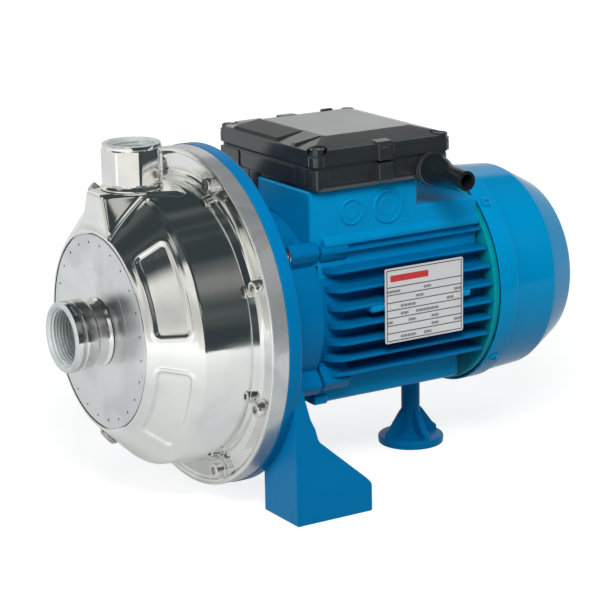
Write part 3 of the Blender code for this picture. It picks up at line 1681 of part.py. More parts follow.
def centreOnFloor():
    # Puts the middle of the whole pump over the world origin and the rotor origins on the shaft.
    meshes = [piece for piece in bpy.data.objects if piece.type == "MESH"]
    low = min(vertex.co.x for piece in meshes for vertex in piece.data.vertices)
    high = max(vertex.co.x for piece in meshes for vertex in piece.data.vertices)
    shift = -0.5 * (low + high)
    for piece in meshes:
        lift = shaft_height if piece.name in rotor_nodes else 0.0
        piece.data.transform(Matrix.Translation((shift, 0.0, -lift)))
        piece.location = (0.0, 0.0, lift)


def buildPump():
    makeCasing()
    makeFrontPlate()
    makeSuctionPort()
    makeDischargePort()
    makeSealPlate()
    makeORing()
    makeWearRing()
    for index, angle in enumerate(screwAngles()):
        makeScrew("casing_screw_%d" % (index + 1), angle)
    for name, (angle, share) in plug_places.items():
        makePlug(name, angle, share)
    makeImpeller()
    makeNut()
    makeSeals()
    makeShaft()
    makeMotorCore()
    makeBearing("front_bearing", bearing_x, front_bearing_width, shaft_front_radius, front_bearing_radius)
    makeBearing("rear_bearing", rear_bearing_x, rear_bearing_width, shaft_rear_radius, rear_bearing_radius)
    makeSlinger()
    makeBracket()
    for index, angle in enumerate(lug_angles):
        makeBolt("housing_bolt_%d" % (index + 1), radians(angle))
    makeHousing()
    makeNameplate()
    makeShield()
    makeCover()
    for index, angle in enumerate(boss_angles):
        makeCoverScrew("fan_cover_screw_%d" % (index + 1), angle)
    makeFan()
    makeBoxBase()
    makeBoxCover()
    makeGasket()
    for index, centre in enumerate(towerPlaces()):
        makeBoxScrew("box_cover_screw_%d" % (index + 1), centre)
    makeGland()
    floor = box_bottom + box_wall + gap
    makeTerminalBlock(floor)
    makeCapacitor(floor)
    makeRearFoot()


for old in list(bpy.data.objects):
    bpy.data.objects.remove(old)
buildPump()
for made in bpy.data.objects:
    finishMesh(made)
centreOnFloor()
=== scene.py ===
from math import sin, cos, tan, pi, radians, acos, sqrt
import bpy
import bmesh
import numpy as np
from mathutils import Vector, Matrix


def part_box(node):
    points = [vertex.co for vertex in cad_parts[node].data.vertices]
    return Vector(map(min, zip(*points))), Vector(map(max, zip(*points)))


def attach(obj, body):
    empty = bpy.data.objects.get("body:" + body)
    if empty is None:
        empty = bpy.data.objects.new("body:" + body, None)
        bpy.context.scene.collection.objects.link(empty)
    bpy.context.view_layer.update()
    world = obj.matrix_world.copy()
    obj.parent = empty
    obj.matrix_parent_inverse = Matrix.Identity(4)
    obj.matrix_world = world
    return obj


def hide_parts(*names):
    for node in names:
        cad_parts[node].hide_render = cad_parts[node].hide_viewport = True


# Looks of a centrifugal pump: pressed steel casing in front, painted motor behind.
# Sizes are millimetres. x is counted from the front face of the bracket disc, z from the floor.
mm = 0.001
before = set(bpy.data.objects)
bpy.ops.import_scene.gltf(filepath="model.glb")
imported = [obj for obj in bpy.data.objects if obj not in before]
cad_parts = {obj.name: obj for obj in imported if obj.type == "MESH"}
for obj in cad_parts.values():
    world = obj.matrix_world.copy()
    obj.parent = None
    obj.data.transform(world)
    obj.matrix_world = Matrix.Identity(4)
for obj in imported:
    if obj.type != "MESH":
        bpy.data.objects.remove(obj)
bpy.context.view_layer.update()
body = "pump_body"
motorLength = 270.0
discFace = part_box("fan_cover")[1].x - motorLength * mm
axisHeight = (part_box("impeller")[0].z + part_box("impeller")[1].z) / 2 / mm
print("frame loaded, shaft axis at", round(axisHeight, 2), "mm")


# Node helpers, for shader trees and geometry trees alike

def feed(tree, inputs, values):
    # Links what is a socket and sets what is a plain value.
    for key, value in values.items():
        if isinstance(value, bpy.types.NodeSocket):
            tree.links.new(value, inputs[key])
        else:
            inputs[key].default_value = value


def addNode(tree, kind, sockets=None, **settings):
    made = tree.nodes.new(kind)
    for key, value in settings.items():
        setattr(made, key, value)
    feed(tree, made.inputs, sockets or {})
    return made


def calc(tree, operation, first, second=0.0, third=0.0, clamp=False):
    return addNode(tree, "ShaderNodeMath", {0: first, 1: second, 2: third},
                   operation=operation, use_clamp=clamp).outputs[0]


def plus(tree, first, second):
    return calc(tree, "ADD", first, second)


def minus(tree, first, second):
    return calc(tree, "SUBTRACT", first, second)


def times(tree, first, second):
    return calc(tree, "MULTIPLY", first, second)


def largest(tree, first, second):
    return calc(tree, "MAXIMUM", first, second)


def offFrom(tree, value, middle):
    return calc(tree, "ABSOLUTE", minus(tree, value, middle))


def ramp(tree, value, low, high, first=0.0, last=1.0, smooth=True):
    kind = "SMOOTHSTEP" if smooth else "LINEAR"
    made = addNode(tree, "ShaderNodeMapRange", {"Value": value, "From Min": low, "From Max": high,
                                                "To Min": first, "To Max": last}, interpolation_type=kind)
    return made.outputs["Result"]


def blend(tree, share, first, second):
    made = addNode(tree, "ShaderNodeMix", data_type="RGBA")
    feed(tree, made.inputs, {"Factor": share, 6: first, 7: second})
    return made.outputs[2]


def combined(tree, x=0.0, y=0.0, z=0.0):
    return addNode(tree, "ShaderNodeCombineXYZ", {"X": x, "Y": y, "Z": z}).outputs[0]


def split(tree, vector):
    return addNode(tree, "ShaderNodeSeparateXYZ", {0: vector}).outputs


def objectSpot(tree):
    return addNode(tree, "ShaderNodeTexCoord").outputs["Object"]


def noise(tree, spot, scale, detail, distortion=0.0):
    return addNode(tree, "ShaderNodeTexNoise", {"Vector": spot, "Scale": scale, "Detail": detail,
                                                "Distortion": distortion}).outputs[0]


def bumps(tree, layers):
    # Each layer has its height map, its strength and its distance, and stands on the one before.
    sockets = {}
    for height, strength, distance in layers:
        sockets.update({"Height": height, "Strength": strength, "Distance": distance})
        sockets["Normal"] = addNode(tree, "ShaderNodeBump", sockets).outputs[0]
    return sockets["Normal"]


def newGroup(name, kind, inputs, outputs):
    # An input's value is its default number, or the kind of its socket where it has no default.
    tree = bpy.data.node_groups.new(name, kind)
    for label, value in inputs.items():
        bare = isinstance(value, str)
        ending = value if bare else ("Int" if isinstance(value, int) else "Float")
        socket = tree.interface.new_socket(label, in_out="INPUT", socket_type="NodeSocket" + ending)
        if not bare:
            socket.default_value = value
    for label, ending in outputs.items():
        tree.interface.new_socket(label, in_out="OUTPUT", socket_type="NodeSocket" + ending)
    return tree, tree.nodes.new("NodeGroupInput").outputs, tree.nodes.new("NodeGroupOutput").inputs


# Shape helpers. Points are millimetres until placed() turns them into the frame's metres.

nearlyStraight = 1.55  # half the angle of a corner, in radians, past which it stays as it is
longestCut = 0.49      # share of a side that one rounded corner may take
onAxis = 1e-6          # a smaller radius is a point on the axis of a turned piece
rimLimit = 50          # degrees: sharper edges than this are rims
toOrigin = Matrix.Translation((-discFace, 0, 0))


def placed(points):
    grid = np.asarray(points, float) * mm
    grid[:, 0] += discFace
    return grid


def roundCorners(outline, closed=True, steps=5):
    # A third number in a point is the radius of its corner.
    soft = []
    count = len(outline)
    for index, point in enumerate(outline):
        here = np.array(point[:2], float)
        radius = point[2] if len(point) > 2 else 0.0
        if radius <= 0 or (not closed and index in (0, count - 1)):
            soft.append(here)
            continue
        before = np.array(outline[index - 1][:2], float) - here
        after = np.array(outline[(index + 1) % count][:2], float) - here
        lengths = np.linalg.norm(before), np.linalg.norm(after)
        before, after = before / lengths[0], after / lengths[1]
        half = acos(float(np.clip(before @ after, -1, 1))) / 2
        if half > nearlyStraight:
            soft.append(here)
            continue
        back = min(radius / tan(half), longestCut * lengths[0], longestCut * lengths[1])
        middle = before + after
        centre = here + middle / np.linalg.norm(middle) * back / cos(half)
        start, end, sweep = here + before * back - centre, here + after * back - centre, pi - 2 * half
        for step in range(steps + 1):
            share = step / steps
            arm = sin((1 - share) * sweep) * start + sin(share * sweep) * end
            soft.append(centre + arm / sin(sweep))
    return np.array(soft)


def smoothShade(obj, angle=35):
    obj.data.shade_smooth()
    obj.data.set_sharp_from_angle(angle=radians(angle))


def showMesh(name, mesh):
    obj = bpy.data.objects.new(name, mesh)
    bpy.context.scene.collection.objects.link(obj)
    return obj


def newPiece(name, points, faces, material=None, angle=35):
    mesh = bpy.data.meshes.new(name)
    mesh.from_pydata(placed(points).tolist(), [], [tuple(int(v) for v in face) for face in faces])
    if material:
        mesh.materials.append(material)
    mesh.update()
    obj = showMesh(name, mesh)
    smoothShade(obj, angle)
    return obj


def faceOutwards(obj):
    work = bmesh.new()
    work.from_mesh(obj.data)
    bmesh.ops.recalc_face_normals(work, faces=work.faces)
    work.to_mesh(obj.data)
    work.free()
    return obj


def spinPoints(along, radius, angle, axis, centre):
    across, up = radius * np.sin(angle), radius * np.cos(angle)
    level = np.full(len(angle), along)
    if axis == "x":
        return np.stack([level, centre[0] - across, centre[1] + up], -1)
    if axis == "y":
        return np.stack([centre[0] + across, level, centre[1] + up], -1)
    return np.stack([centre[0] + up, centre[1] + across, level], -1)


def turned(name, profile, material=None, axis="x", centre=None, steps=128, shape=None, angle=35, arc=5):
    # Spins a closed profile of (along, radius, corner radius) about an axis.
    centre = centre or (0.0, axisHeight)
    outline = roundCorners(profile, steps=arc)
    spin = np.linspace(0, 2 * pi, steps, endpoint=False)
    points, rings = [], []
    for along, radius in outline:
        rings.append(len(points))
        if radius < onAxis:
            points.extend(spinPoints(along, np.zeros(1), np.zeros(1), axis, centre))
            continue
        reach = np.full(steps, radius) if shape is None else shape(along, radius, spin)
        points.extend(spinPoints(along, reach, spin, axis, centre))
    faces = []
    for index, (along, radius) in enumerate(outline):
        after = (index + 1) % len(outline)
        first, second = rings[index], rings[after]
        for step in range(steps):
            more = (step + 1) % steps
            if radius < onAxis and outline[after][1] < onAxis:
                continue
            elif radius < onAxis:
                faces.append((first, second + step, second + more))
            elif outline[after][1] < onAxis:
                faces.append((first + step, second, first + more))
            else:
                faces.append((first + step, second + step, second + more, first + more))
    return faceOutwards(newPiece(name, points, faces, material, angle))


def rod(low, high, radius):
    return [(low, 0), (low, radius), (high, radius), (high, 0)]


def evenSided(spin, flat, sides, turn=0.0):
    # How far the flats of a bar with so many sides are from its axis, round the spin.
    half = pi / sides
    return flat / np.cos((spin - turn + half) % (2 * half) - half)


def slab(name, outline, low, high, axis, material=None, edge=0.0, steps=3, arc=5):
    # Stretches an outline along an axis and rounds its two rims.
    flat = roundCorners(outline, steps=arc)
    count = len(flat)
    points = []
    for level in (low, high):
        for first, second in flat:
            points.append({"x": (level, first, second), "y": (first, level, second),
                           "z": (first, second, level)}[axis])
    faces = [tuple(range(count)), tuple(range(2 * count - 1, count - 1, -1))]
    faces += [(i, i + count, (i + 1) % count + count, (i + 1) % count) for i in range(count)]
    obj = faceOutwards(newPiece(name, points, faces, material))
    if edge:
        softenRims(obj, edge, steps)
    return obj


def softenRims(obj, edge, steps):
    work = bmesh.new()
    work.from_mesh(obj.data)
    rims = [e for e in work.edges if len(e.link_faces) == 2 and e.calc_face_angle(0) > radians(rimLimit)]
    bmesh.ops.bevel(work, geom=rims, offset=edge * mm, segments=steps, profile=0.5,
                    affect="EDGES", clamp_overlap=True)
    work.to_mesh(obj.data)
    work.free()
    smoothShade(obj, rimLimit)


def brick(name, low, high, material=None, edge=0.0, steps=3):
    outline = [(low[0], low[1]), (high[0], low[1]), (high[0], high[1]), (low[0], high[1])]
    return slab(name, outline, low[2], high[2], "z", material, edge, steps)


def sideSpan(side, first, second):
    # Two distances from the middle plane as a low and a high y on one side of it.
    return sorted((side * first, side * second))


def stack(name, levels, material=None, angle=35):
    # Joins outlines of equal point count, each at its own level, into one closed body.
    count = len(levels[0])
    points = [point for level in levels for point in level]
    faces = [tuple(range(count)), tuple(range(len(points) - 1, len(points) - count - 1, -1))]
    for ring in range(0, len(points) - count, count):
        for i in range(count):
            j = (i + 1) % count
            faces.append((ring + i, ring + count + i, ring + count + j, ring + j))
    return faceOutwards(newPiece(name, points, faces, material, angle))


def plainMesh(obj, angle=None):
    # Bakes the modifiers into the mesh and drops them.
    made = bpy.data.meshes.new_from_object(obj.evaluated_get(bpy.context.evaluated_depsgraph_get()))
    obj.modifiers.clear()
    obj.data = made
    if angle:
        smoothShade(obj, angle)
    return obj


def evenShading(obj):
    obj.modifiers.new("even", "WEIGHTED_NORMAL").keep_sharp = True
    return plainMesh(obj)


def dropObject(obj):
    bpy.data.objects.remove(obj, do_unlink=True)


def carve(obj, tools, angle):
    for tool in tools:
        step = obj.modifiers.new("carve", "BOOLEAN")
        step.operation, step.solver, step.object = "DIFFERENCE", "EXACT", tool
    plainMesh(obj, angle)
    for tool in tools:
        dropObject(tool)
    return obj


def joined(name, parts):
    # Gathers closed bodies into one mesh, each face with its own material.
    work = bmesh.new()
    materials = []
    for part in parts:
        start = len(work.faces)
        work.from_mesh(part.data)
        work.faces.ensure_lookup_table()
        slots = [slot.material for slot in part.material_slots]
        for material in slots:
            if material not in materials:
                materials.append(material)
        for face in work.faces[start:]:
            face.material_index = materials.index(slots[min(face.material_index, len(slots) - 1)])
        dropObject(part)
    mesh = bpy.data.meshes.new(name)
    work.to_mesh(mesh)
    work.free()
    for material in materials:
        mesh.materials.append(material)
    return showMesh(name, mesh)


def paintFaces(obj, material, isChosen):
    obj.data.materials.append(material)
    for face in obj.data.polygons:
        if isChosen(face):
            face.material_index = len(obj.data.materials) - 1


def fromAxis(point):
    return Vector((0, point.y, point.z - axisHeight * mm)).length / mm


def turnedBy(obj, angle):
    # Turns a piece about the shaft axis: 0 is the top, and positive goes to the near side.
    centre = Vector((0, 0, axisHeight * mm))
    turn = Matrix.Rotation(radians(angle), 4, "X")
    obj.data.transform(Matrix.Translation(centre) @ turn @ Matrix.Translation(-centre))
    return obj


def numbered(node, count):
    return ["%s_%d" % (node, number + 1) for number in range(count)]


def settle(obj, finish, *nodes):
    # The last step for each piece: it rides on the pump body and stands for its CAD nodes.
    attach(obj, body)
    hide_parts(*nodes)


# Geometry Nodes: copies on a circle about the shaft, a helical thread, and cooling fins

def growInto(name, tree, values):
    holder = showMesh(name, bpy.data.meshes.new(name))
    grow = holder.modifiers.new("grow", "NODES")
    grow.node_group = tree
    for item in tree.interface.items_tree:
        if item.item_type == "SOCKET" and item.in_out == "INPUT":
            grow[item.identifier] = values[item.name]
    return plainMesh(holder)


def closeTree(tree, geometry, given, result):
    painted = addNode(tree, "GeometryNodeSetMaterial", {0: geometry, "Material": given["Material"]})
    tree.links.new(painted.outputs[0], result["Geometry"])
    return tree


def ringTree():
    tree, given, result = newGroup(
        "copiesAroundShaft", "GeometryNodeTree",
        {"Piece": "Object", "Count": 8, "Radius": 0.1, "First Angle": 0.0, "Step Angle": 0.785,
         "Centre": "Vector", "Material": "Material"}, {"Geometry": "Geometry"})
    index = addNode(tree, "GeometryNodeInputIndex").outputs[0]
    angle = plus(tree, times(tree, index, given["Step Angle"]), given["First Angle"])
    side = times(tree, calc(tree, "SINE", angle), times(tree, given["Radius"], -1.0))
    up = times(tree, calc(tree, "COSINE", angle), given["Radius"])
    place = addNode(tree, "ShaderNodeVectorMath", {0: combined(tree, y=side, z=up), 1: given["Centre"]},
                    operation="ADD").outputs[0]
    points = addNode(tree, "GeometryNodePoints", {"Count": given["Count"], "Position": place}).outputs[0]
    piece = addNode(tree, "GeometryNodeObjectInfo", {"Object": given["Piece"]}).outputs["Geometry"]
    copies = addNode(tree, "GeometryNodeInstanceOnPoints",
                     {"Points": points, "Instance": piece, "Rotation": combined(tree, x=angle)}).outputs[0]
    solid = addNode(tree, "GeometryNodeRealizeInstances", {0: copies}).outputs[0]
    return closeTree(tree, solid, given, result)


def aroundShaft(name, make, material, x, radius, count, firstAngle, shade=35):
    # make() builds one copy about the origin, with +Z away from the shaft.
    single = make()
    single.data.transform(toOrigin)
    made = growInto(name, aroundTree, {"Piece": single, "Count": count, "Radius": radius * mm,
                                       "First Angle": radians(firstAngle), "Step Angle": radians(360 / count),
                                       "Centre": (discFace + x * mm, 0.0, axisHeight * mm),
                                       "Material": material})
    dropObject(single)
    smoothShade(made, shade)
    return made


def atAngles(name, make, material, x, radius, angles, shade):
    # Copies at angles that aren't evenly spaced, in one piece.
    return joined(name, [aroundShaft("copy", make, material, x, radius, 1, angle, shade)
                         for angle in angles])


def threadTree():
    tree, given, result = newGroup(
        "helicalThread", "GeometryNodeTree",
        {"Radius": 0.019, "Pitch": 0.002, "Turns": 8.0, "Depth": 0.001, "Tilt": "Vector",
         "Place": "Vector", "Material": "Material"}, {"Geometry": "Geometry"})
    coil = addNode(tree, "GeometryNodeCurveSpiral",
                   {"Resolution": 64, "Rotations": given["Turns"], "Start Radius": given["Radius"],
                    "End Radius": given["Radius"],
                    "Height": times(tree, given["Turns"], given["Pitch"])}).outputs[0]
    ridge = addNode(tree, "GeometryNodeCurvePrimitiveCircle",
                    {"Resolution": 4, "Radius": given["Depth"]}, mode="RADIUS").outputs[0]
    wire = addNode(tree, "GeometryNodeCurveToMesh",
                   {0: coil, "Profile Curve": ridge, "Fill Caps": True}).outputs[0]
    moved = addNode(tree, "GeometryNodeTransform",
                    {0: wire, "Translation": given["Place"], "Rotation": given["Tilt"]}).outputs[0]
    solid = addNode(tree, "GeometryNodeRealizeInstances", {0: moved}).outputs[0]
    return closeTree(tree, solid, given, result)


def makeThread(look, length, tilt, place):
    # look: the dictionary of the port that has the thread in its bore
    x, y, z = place
    pitch = look["pitch"]
    thread = growInto("thread", coilTree, {
        "Radius": look["bore"] * mm, "Pitch": pitch * mm, "Turns": length / pitch,
        "Depth": look["threadDepth"] * mm, "Tilt": tilt, "Place": (discFace + x * mm, y * mm, z * mm),
        "Material": paleSteel})
    smoothShade(thread, 30)
    return thread


def finTree():
    tree, given, result = newGroup(
        "coolingFins", "GeometryNodeTree",
        {"Count": 8, "Pitch": 0.0121, "Offset": 0.002, "Start": 0.0, "End": 0.1, "Root Radius": 0.06,
         "Tip Radius": 0.076, "Thickness": 0.0024, "Taper": 0.6, "Nose": 0.014, "Axis Height": 0.122,
         "Material": "Material"}, {"Geometry": "Geometry"})
    curlPower, lipStart, lipDepth, leastChord = 2.3, 0.93, 0.9, 0.0001
    slat = addNode(tree, "GeometryNodeMeshCube", {"Size": (1, 1, 1), "Vertices X": 26, "Vertices Y": 22,
                                                  "Vertices Z": 5}).outputs[0]
    spot = addNode(tree, "GeometryNodeInputPosition").outputs[0]
    slat = addNode(tree, "GeometryNodeStoreNamedAttribute", {0: slat, "Name": "slat", "Value": spot},
                   data_type="FLOAT_VECTOR", domain="POINT").outputs[0]
    line = addNode(tree, "GeometryNodePoints", {"Count": times(tree, given["Count"], 2.0)}).outputs[0]
    copies = addNode(tree, "GeometryNodeInstanceOnPoints", {"Points": line, "Instance": slat}).outputs[0]
    index = addNode(tree, "GeometryNodeInputIndex").outputs[0]
    copies = addNode(tree, "GeometryNodeStoreNamedAttribute", {0: copies, "Name": "fin", "Value": index},
                     data_type="INT", domain="INSTANCE").outputs[0]
    solid = addNode(tree, "GeometryNodeRealizeInstances", {0: copies}).outputs[0]
    number = addNode(tree, "GeometryNodeInputNamedAttribute", {"Name": "fin"}, data_type="INT").outputs[0]
    corner = addNode(tree, "GeometryNodeInputNamedAttribute", {"Name": "slat"}, data_type="FLOAT_VECTOR")
    parts = split(tree, corner.outputs[0])
    # Every row has one fin on each side of the barrel.
    side = minus(tree, times(tree, calc(tree, "FLOORED_MODULO", number, 2.0), 2.0), 1.0)
    row = calc(tree, "FLOOR", times(tree, number, 0.5))
    middleRow = times(tree, minus(tree, given["Count"], 1.0), 0.5)
    level = calc(tree, "MULTIPLY_ADD", minus(tree, row, middleRow), given["Pitch"], given["Offset"])

    def chord(radius):
        inside = minus(tree, calc(tree, "POWER", radius, 2.0), calc(tree, "POWER", level, 2.0))
        return calc(tree, "SQRT", largest(tree, inside, leastChord))
    root, tip = chord(given["Root Radius"]), chord(given["Tip Radius"])
    alongFin = plus(tree, parts["X"], 0.5)
    outFin = calc(tree, "MULTIPLY_ADD", parts["Y"], side, 0.5)
    # The front end curls back towards the tip, and the tip is rounded.
    curl = calc(tree, "SQRT", calc(tree, "SUBTRACT", 1.0, calc(tree, "POWER", outFin, curlPower), clamp=True))
    front = plus(tree, given["Start"], times(tree, given["Nose"], minus(tree, 1.0, curl)))
    x = calc(tree, "MULTIPLY_ADD", minus(tree, given["End"], front), alongFin, front)
    reach = calc(tree, "MULTIPLY_ADD", minus(tree, tip, root), outFin, root)
    lip = ramp(tree, outFin, lipStart, 1.0, 0.0, lipDepth, False)
    full = calc(tree, "SQRT", minus(tree, 1.0, calc(tree, "POWER", lip, 2.0)))
    thicker = calc(tree, "MULTIPLY_ADD", minus(tree, 1.0, outFin), given["Taper"], 1.0)
    thick = times(tree, times(tree, given["Thickness"], thicker), full)
    z = calc(tree, "MULTIPLY_ADD", parts["Z"], thick, plus(tree, level, given["Axis Height"]))
    where = combined(tree, x, times(tree, reach, side), z)
    shaped = addNode(tree, "GeometryNodeSetPosition", {0: solid, "Position": where}).outputs[0]
    return closeTree(tree, shaped, given, result)


aroundTree = ringTree()
coilTree = threadTree()
slatTree = finTree()


# Shared effects. Each group gives only values, masks and normals.

def polishGroup():
    # Fine turning lines about the shaft axis, soft smudges and a faint waviness of pressed sheet.
    tree, given, result = newGroup(
        "polishMarks", "ShaderNodeTree",
        {"Roughness": 0.1, "Spread": 0.1, "Line Scale": 900.0, "Line Share": 0.5, "Line Height": 0.02,
         "Wave Scale": 30.0, "Wave Height": 0.05, "Axis Height": 0.122},
        {"Roughness": "Float", "Smudge": "Float", "Normal": "Vector"})
    spot = objectSpot(tree)
    parts = split(tree, spot)
    up = minus(tree, parts["Z"], given["Axis Height"])
    radius = calc(tree, "SQRT", plus(tree, calc(tree, "POWER", parts["Y"], 2.0),
                                     calc(tree, "POWER", up, 2.0)))
    scale = given["Line Scale"]
    line = combined(tree, times(tree, radius, scale), times(tree, parts["X"], scale),
                    times(tree, calc(tree, "ARCTAN2", parts["Y"], up), 3.0))
    lines = noise(tree, line, 1.0, 3.0)
    smudge = ramp(tree, noise(tree, spot, 26.0, 5.0, 0.6), 0.42, 0.70)
    wave = noise(tree, spot, given["Wave Scale"], 1.0)
    rest = times(tree, smudge, minus(tree, 1.0, given["Line Share"]))
    share = calc(tree, "MULTIPLY_ADD", lines, given["Line Share"], rest)
    rough = calc(tree, "MULTIPLY_ADD", share, given["Spread"], given["Roughness"])
    normal = bumps(tree, [(lines, given["Line Height"], 0.0004), (wave, given["Wave Height"], 0.002)])
    feed(tree, result, {"Roughness": rough, "Smudge": smudge, "Normal": normal})
    return tree


def skinGroup():
    # Orange peel of sprayed paint or the grain of moulded plastic, with dust that settles from above.
    tree, given, result = newGroup(
        "sprayedSkin", "ShaderNodeTree",
        {"Roughness": 0.35, "Spread": 0.1, "Peel Scale": 700.0, "Peel Height": 0.1, "Lump Scale": 60.0,
         "Lump Height": 0.0},
        {"Roughness": "Float", "Shade": "Float", "Dust": "Float", "Normal": "Vector"})
    spot = objectSpot(tree)
    peel = noise(tree, spot, given["Peel Scale"], 2.0)
    lump = noise(tree, spot, given["Lump Scale"], 3.0)
    broad = noise(tree, spot, 14.0, 4.0)
    facing = addNode(tree, "ShaderNodeNewGeometry").outputs["Normal"]
    upward = ramp(tree, split(tree, facing)["Z"], 0.55, 1.0)
    dust = times(tree, upward, ramp(tree, broad, 0.35, 0.75))
    rough = calc(tree, "MULTIPLY_ADD", broad, given["Spread"], given["Roughness"])
    normal = bumps(tree, [(lump, given["Lump Height"], 0.001), (peel, given["Peel Height"], 0.0003)])
    feed(tree, result, {"Roughness": rough, "Shade": broad, "Dust": dust, "Normal": normal})
    return tree


polish = polishGroup()
skin = skinGroup()


def newMaterial(name):
    material = bpy.data.materials.new(name)
    material.use_nodes = True
    return material, material.node_tree, material.node_tree.nodes["Principled BSDF"]


def useGroup(tree, group, values):
    return addNode(tree, "ShaderNodeGroup", values, node_tree=group).outputs


def steel(name, colour, stain, rough, spread, lines=900.0, share=0.5, lineHeight=0.02, waves=30.0,
          waveHeight=0.04, metal=1.0):
    # stain colours the smudges, and what follows spread sizes the polishing marks.
    material, tree, shader = newMaterial(name)
    marks = useGroup(tree, polish, {"Roughness": rough, "Spread": spread, "Line Scale": lines,
                                    "Line Share": share, "Line Height": lineHeight, "Wave Scale": waves,
                                    "Wave Height": waveHeight, "Axis Height": axisHeight * mm})
    tint = blend(tree, marks["Smudge"], (*colour, 1), (*stain, 1))
    feed(tree, shader.inputs, {"Base Color": tint, "Roughness": marks["Roughness"],
                               "Normal": marks["Normal"], "Metallic": metal})
    return material


def sprayed(name, colour, shade, dust, rough, spread, peel=700.0, peelHeight=0.1, lumps=60.0,
            lumpHeight=0.0, dusty=0.05, gleam=(1.0, 1.0, 1.0), shine=0.5, ior=1.45):
    # shade is the second colour of the patches, and gleam tints what the skin mirrors.
    material, tree, shader = newMaterial(name)
    marks = useGroup(tree, skin, {"Roughness": rough, "Spread": spread, "Peel Scale": peel,
                                  "Peel Height": peelHeight, "Lump Scale": lumps,
                                  "Lump Height": lumpHeight})
    paint = blend(tree, ramp(tree, marks["Shade"], 0.3, 0.7), (*colour, 1), (*shade, 1))
    paint = blend(tree, times(tree, marks["Dust"], dusty), paint, (*dust, 1))
    feed(tree, shader.inputs, {"Base Color": paint, "Roughness": marks["Roughness"],
                               "Normal": marks["Normal"], "Specular Tint": (*gleam, 1),
                               "Specular IOR Level": shine, "IOR": ior})
    return material


mirrorSteel = steel("mirrorSteel", (0.80, 0.81, 0.79), (0.70, 0.72, 0.71), 0.045, 0.13, lines=420.0,
                    share=0.45, lineHeight=0.022, waves=21.0, waveHeight=0.16)
rimSteel = steel("rimSteel", (0.56, 0.58, 0.58), (0.40, 0.42, 0.43), 0.24, 0.14, lines=1500.0,
                 share=0.6, lineHeight=0.05, waveHeight=0.03, metal=0.68)
satinSteel = steel("satinSteel", (0.71, 0.73, 0.73), (0.60, 0.63, 0.65), 0.24, 0.14, lines=1500.0,
                   share=0.6, lineHeight=0.05, waveHeight=0.03)
portSteel = steel("portSteel", (0.82, 0.82, 0.80), (0.70, 0.70, 0.69), 0.04, 0.08, lines=1200.0,
                  share=0.7, lineHeight=0.03, waveHeight=0.05)
paleSteel = steel("paleSteel", (0.60, 0.64, 0.63), (0.50, 0.54, 0.53), 0.32, 0.12, lines=2200.0,
                  share=0.7, lineHeight=0.08, waveHeight=0.0, metal=0.3)
screwSteel = steel("screwSteel", (0.78, 0.78, 0.76), (0.55, 0.54, 0.52), 0.16, 0.16, lines=2500.0,
                   lineHeight=0.05, waveHeight=0.0)
weldSteel = steel("weldSteel", (0.16, 0.16, 0.17), (0.08, 0.08, 0.09), 0.35, 0.2, lines=2500.0,
                  waveHeight=0.0)
zincMetal = steel("zincMetal", (0.66, 0.66, 0.64), (0.44, 0.44, 0.42), 0.24, 0.2, lines=1800.0,
                  lineHeight=0.05)
rivetMetal = steel("rivetMetal", (0.80, 0.80, 0.78), (0.66, 0.66, 0.64), 0.3, 0.1, lines=2600.0,
                   lineHeight=0.05, metal=0.4)
brushedSteel = steel("brushedSteel", (0.60, 0.60, 0.61), (0.48, 0.48, 0.50), 0.28, 0.16, lines=1400.0,
                     lineHeight=0.06)
laminations = steel("laminations", (0.28, 0.29, 0.31), (0.20, 0.20, 0.21), 0.42, 0.2, lines=2600.0,
                    share=0.8, lineHeight=0.2)
copperWire = steel("copperWire", (0.55, 0.20, 0.07), (0.40, 0.13, 0.05), 0.3, 0.2, lines=1600.0,
                   lineHeight=0.3)
bluePaint = sprayed("bluePaint", (0.0, 0.26, 0.55), (0.0, 0.235, 0.51), (0.05, 0.38, 0.60), 0.24, 0.14,
                    peel=420.0, peelHeight=0.14, lumps=70.0, lumpHeight=0.22,
                    gleam=(0.08, 0.72, 1.0), ior=1.38)
# Darker, less glossy copy of the blue paint: painted shade for the bracket, the barrel, the fins and the rear
# foot.
shadedBluePaint = sprayed("shadedBluePaint", (0.0, 0.16, 0.38), (0.0, 0.145, 0.35), (0.02, 0.26, 0.46), 0.26, 0.16,
                    peel=380.0, peelHeight=0.16, lumpHeight=0.30, gleam=(0.08, 0.72, 1.0), ior=1.28)
# Darker blue that hardly mirrors, for the shelf tops under the terminal box: painted shade.
shelfShadePaint = sprayed("shelfShadePaint", (0.0, 0.20, 0.46), (0.0, 0.18, 0.42), (0.04, 0.32, 0.52), 0.3, 0.16,
                     peel=380.0, peelHeight=0.14, lumpHeight=0.22, ior=1.06)
coverPaint = sprayed("coverPaint", (0.0, 0.265, 0.55), (0.0, 0.25, 0.53), (0.05, 0.40, 0.60), 0.07, 0.06,
                     peel=420.0, peelHeight=0.03, lumps=24.0, lumpHeight=0.10,
                     gleam=(0.08, 0.80, 1.0), ior=1.27)
shieldPaint = sprayed("shieldPaint", (0.0, 0.30, 0.36), (0.0, 0.25, 0.31), (0.1, 0.4, 0.45), 0.30, 0.12,
                      lumpHeight=0.2, gleam=(0.1, 0.9, 1.0))
boxPlastic = sprayed("boxPlastic", (0.014, 0.017, 0.019), (0.022, 0.026, 0.028), (0.12, 0.13, 0.13),
                     0.10, 0.14, peel=900.0, peelHeight=0.05, lumps=40.0, lumpHeight=0.12,
                     gleam=(0.85, 0.97, 1.0), shine=0.9)
# Pale grey plastic for the top of the lid: a painted reflection of the bright room.
paintedSheenPlastic = sprayed("paintedSheenPlastic", (0.33, 0.355, 0.35), (0.26, 0.28, 0.28), (0.40, 0.41, 0.41),
                     0.30, 0.12, peel=1600.0, peelHeight=0.16, dusty=0.2, shine=1.0)
